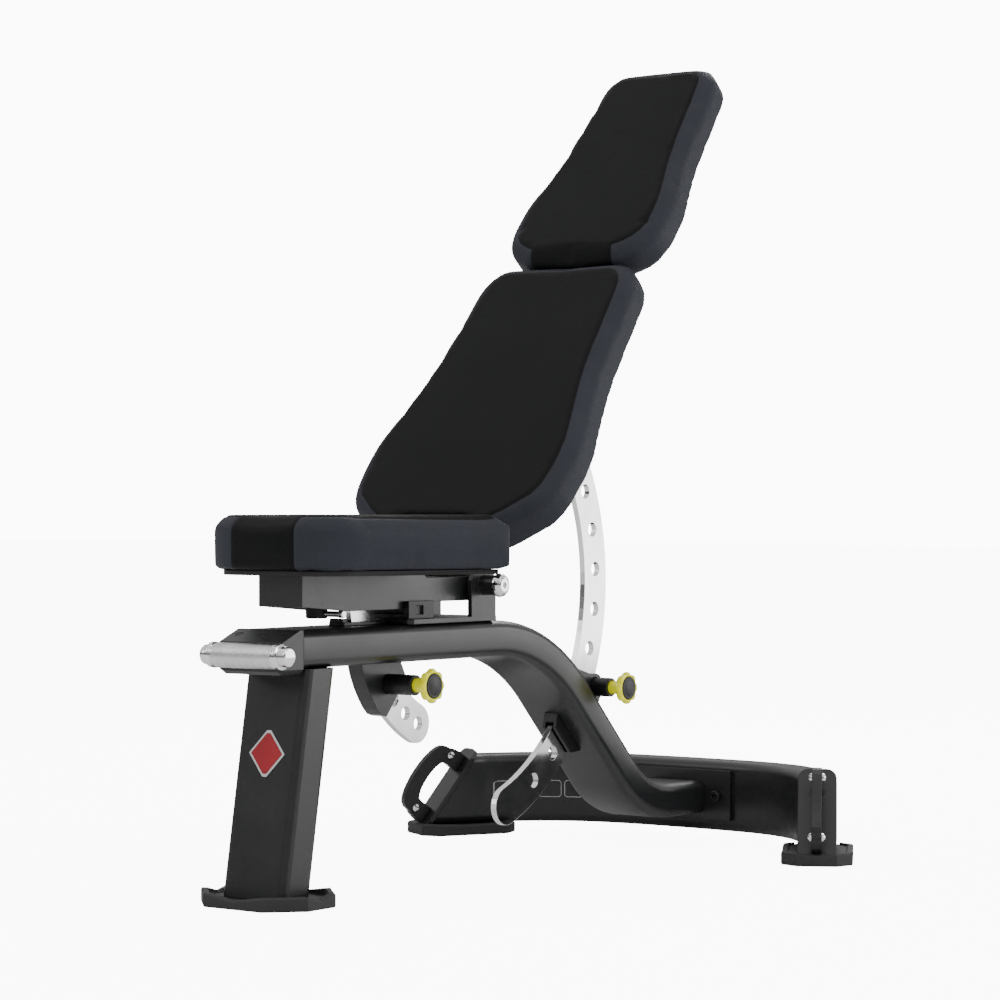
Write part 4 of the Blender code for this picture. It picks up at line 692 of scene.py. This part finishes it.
def leg_badge():
    """Plain red lozenge with a thin pale border."""
    lo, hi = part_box("leg_badge")
    rake = math.radians(9.74)
    out = Vector((0, -math.cos(rake), math.sin(rake)))
    up = Vector((0, math.sin(rake), math.cos(rake)))
    foot = (lo + hi) / 2 - out * 0.0005
    for name, half, cut_back, z0, z1, material in (("badge_border", 0.027, 0.003, 0.0, 0.0006, WHITE),
                                                   ("badge_field", 0.0235, 0.0026, 0.0006, 0.0010, BADGE)):
        loop = [(half, 0), (cut_back, half), (-cut_back, half), (-half, 0), (-cut_back, -half),
                (cut_back, -half)]
        rings = [[foot + Vector((x, 0, 0)) + up * v + out * z for x, v in loop] for z in (z0, z1)]
        verts, faces = loft(rings)
        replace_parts(make(name, verts, faces, material, "base"), "leg_badge")


leg_badge()

# ---- knurled grip -------------------------------------------------------------------------------
BAR = (0, -0.036 - MID_Y, 0.288)


def knurl_radius(r, x, a):
    if abs(x) > 0.0447:
        return r
    pitch, around = 0.0021, 44
    u = x / pitch
    v = around * a / (2 * math.pi)
    ridge = min(abs((u + v) % 1.0 - 0.5), abs((u - v) % 1.0 - 0.5)) * 2
    return r - 0.00045 * (1 - min(1.0, ridge * 2.2))


STEP = 0.00050
grip = [(0, -0.0640), (0.0090, -0.0640), (0.0108, -0.0635), (0.0115, -0.0622), (0.0115, -0.0534),
        (0.0118, -0.0532),
        (0.0146, -0.0532), (0.0150, -0.0528), (0.0150, -0.0474), (0.0146, -0.0470), (0.0136, -0.0466),
        (0.0136, -0.0454), (0.0144, -0.0450)]
x = -0.0446
while x < 0.04461:
    grip.append((0.0147, x))
    x += STEP
grip += [(r, -x) for r, x in reversed(grip[:13])]
verts, faces = turned(grip, 220, BAR, knurl_radius)
bar = make("handle_bar_knurled", verts, faces, KNURL, "base", smooth=50)
bar.data.materials.append(CHROME)
for poly in bar.data.polygons:
    if abs(poly.center.x) > 0.0448:
        poly.material_index = 1
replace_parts(bar, "handle_bar")


# ---- pull knobs ---------------------------------------------------------------------------------
def knob(tag, body):
    lo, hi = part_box(tag + "_pin_knob")
    axis = (0, (lo.y + hi.y) / 2, (lo.z + hi.z) / 2)
    x0 = hi.x - 0.0336

    def lobes(r, x, a):
        if r <= 0.0165:
            return r
        depth = 0.13 * min(1.0, (r - 0.0165) / 0.003)
        return r * (1 - depth * (0.5 - 0.5 * math.cos(8 * a)) ** 1.3)

    profile = [(0.0058, 0.0050), (0.0080, 0.0050), (0.0086, 0.0056), (0.0086, 0.0175), (0.0090, 0.0188),
               (0.0105, 0.0201),
               (0.0130, 0.0213), (0.0160, 0.0226), (0.0185, 0.0240), (0.0200, 0.0254), (0.0208, 0.0268),
               (0.0210, 0.0284), (0.0210, 0.0304), (0.0207, 0.0318), (0.0200, 0.0328), (0.0190, 0.0334),
               (0.0178, 0.0336), (0.0164, 0.0335), (0.0155, 0.0330), (0.0152, 0.0322), (0.0152, 0.0314),
               (0, 0.0314)]
    verts, faces = turned([(r, x0 + x) for r, x in profile], 192, axis, lobes)
    piece = make(tag + "_knob_lobed", verts, faces, YELLOW, body, smooth=60)
    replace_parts(piece, tag + "_pin_knob")
    cap = [(0, 0.0316), (0.0149, 0.0316), (0.0150, 0.0330), (0.0146, 0.0338), (0.0132, 0.0342),
           (0.0124, 0.0338),
           (0.0116, 0.0338), (0.0108, 0.0342), (0.0, 0.0348)]
    verts, faces = turned([(r, x0 + x) for r, x in cap], 96, axis)
    piece = make(tag + "_knob_cap", verts, faces, PLASTIC, body, smooth=50)
    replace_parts(piece, tag + "_pin_cap")


for tag, body in (("seat", "seat_pin"), ("back", "back_pin")):
    knob(tag, body)

# ---- light, floor -------------------------------------------------------------------------------
def studio_world():
    """Dim studio with a bright ceiling; the camera itself sees a plain white backdrop."""
    world = bpy.data.worlds.new("studio")
    bpy.context.scene.world = world
    world.use_nodes = True
    tree = world.node_tree
    new, link = tree.nodes.new, tree.links.new
    background = tree.nodes["Background"]
    split = new("ShaderNodeSeparateXYZ")
    link(new("ShaderNodeTexCoord").outputs["Generated"], split.inputs["Vector"])
    ramp = new("ShaderNodeValToRGB")
    stops = ((0.0, 0.22), (0.47, 0.20), (0.53, 0.15), (0.60, 0.28), (0.72, 0.75), (1.0, 1.10))
    while len(ramp.color_ramp.elements) < len(stops):
        ramp.color_ramp.elements.new(0.5)
    for element, (at, level) in zip(ramp.color_ramp.elements, stops):
        element.position = at
        element.color = (level, level, level, 1.0)
    height = new("ShaderNodeMapRange")
    height.inputs["From Min"].default_value = -1.0
    link(split.outputs["Z"], height.inputs["Value"])
    link(height.outputs["Result"], ramp.inputs["Fac"])
    mix = new("ShaderNodeMix")
    mix.data_type = "RGBA"
    link(new("ShaderNodeLightPath").outputs["Is Camera Ray"], mix.inputs["Factor"])
    link(ramp.outputs["Color"], mix.inputs[6])
    mix.inputs[7].default_value = (BACKDROP, BACKDROP, BACKDROP, 1.0)
    link(mix.outputs[2], background.inputs["Color"])


def studio_floor():
    """Pale floor that fades into the backdrop and keeps a faint contact shadow."""
    data = bpy.data.meshes.new("floor")
    data.from_pydata([(-30, -30, 0), (30, -30, 0), (30, 30, 0), (-30, 30, 0)], [], [(0, 1, 2, 3)])
    floor = bpy.data.objects.new("floor", data)
    floor.location.z = -0.0003
    bpy.context.scene.collection.objects.link(floor)
    ground = Nodes("pale_floor")
    ground.set(Base_Color=ground.mix(ground.noise(3.0, 2.0, 0.5), (0.84, 0.84, 0.84), (0.86, 0.86, 0.86)),
               Roughness=0.9, Specular_IOR_Level=0.1)
    seen = ground.new("ShaderNodeLightPath").outputs["Is Camera Ray"]
    ground.shader.inputs["Emission Color"].default_value = (1.0, 1.0, 1.0, 1.0)
    ground.link(ground.math("MULTIPLY", seen, FLOOR_GLOW), ground.shader.inputs["Emission Strength"])
    data.materials.append(ground.mat)


def area(name, at, to, size, power):
    data = bpy.data.lights.new(name, "AREA")
    data.shape = "RECTANGLE"
    data.size, data.size_y = size
    data.energy = power
    obj = bpy.data.objects.new(name, data)
    obj.location = at
    obj.rotation_euler = (Vector(to) - Vector(at)).to_track_quat("-Z", "Y").to_euler()
    bpy.context.scene.collection.objects.link(obj)


BACKDROP, FLOOR_GLOW = 11.0, 9.5
studio_world()
studio_floor()
area("key", (1.4, -3.4, 2.6), (0, 0, 0.4), (1.4, 1.4), 30)
area("side", (3.2, 0.6, 1.7), (0, 0, 0.4), (0.7, 1.6), 22)
area("fill", (-2.6, -2.2, 1.8), (0, 0, 0.5), (1.4, 1.4), 10)
area("rim", (-0.6, 2.6, 2.4), (0, 0, 0.4), (1.6, 0.8), 25)
area("panel", (3.6, 4.4, 0.9), (0, 0, 0.4), (3.6, 2.4), 85)
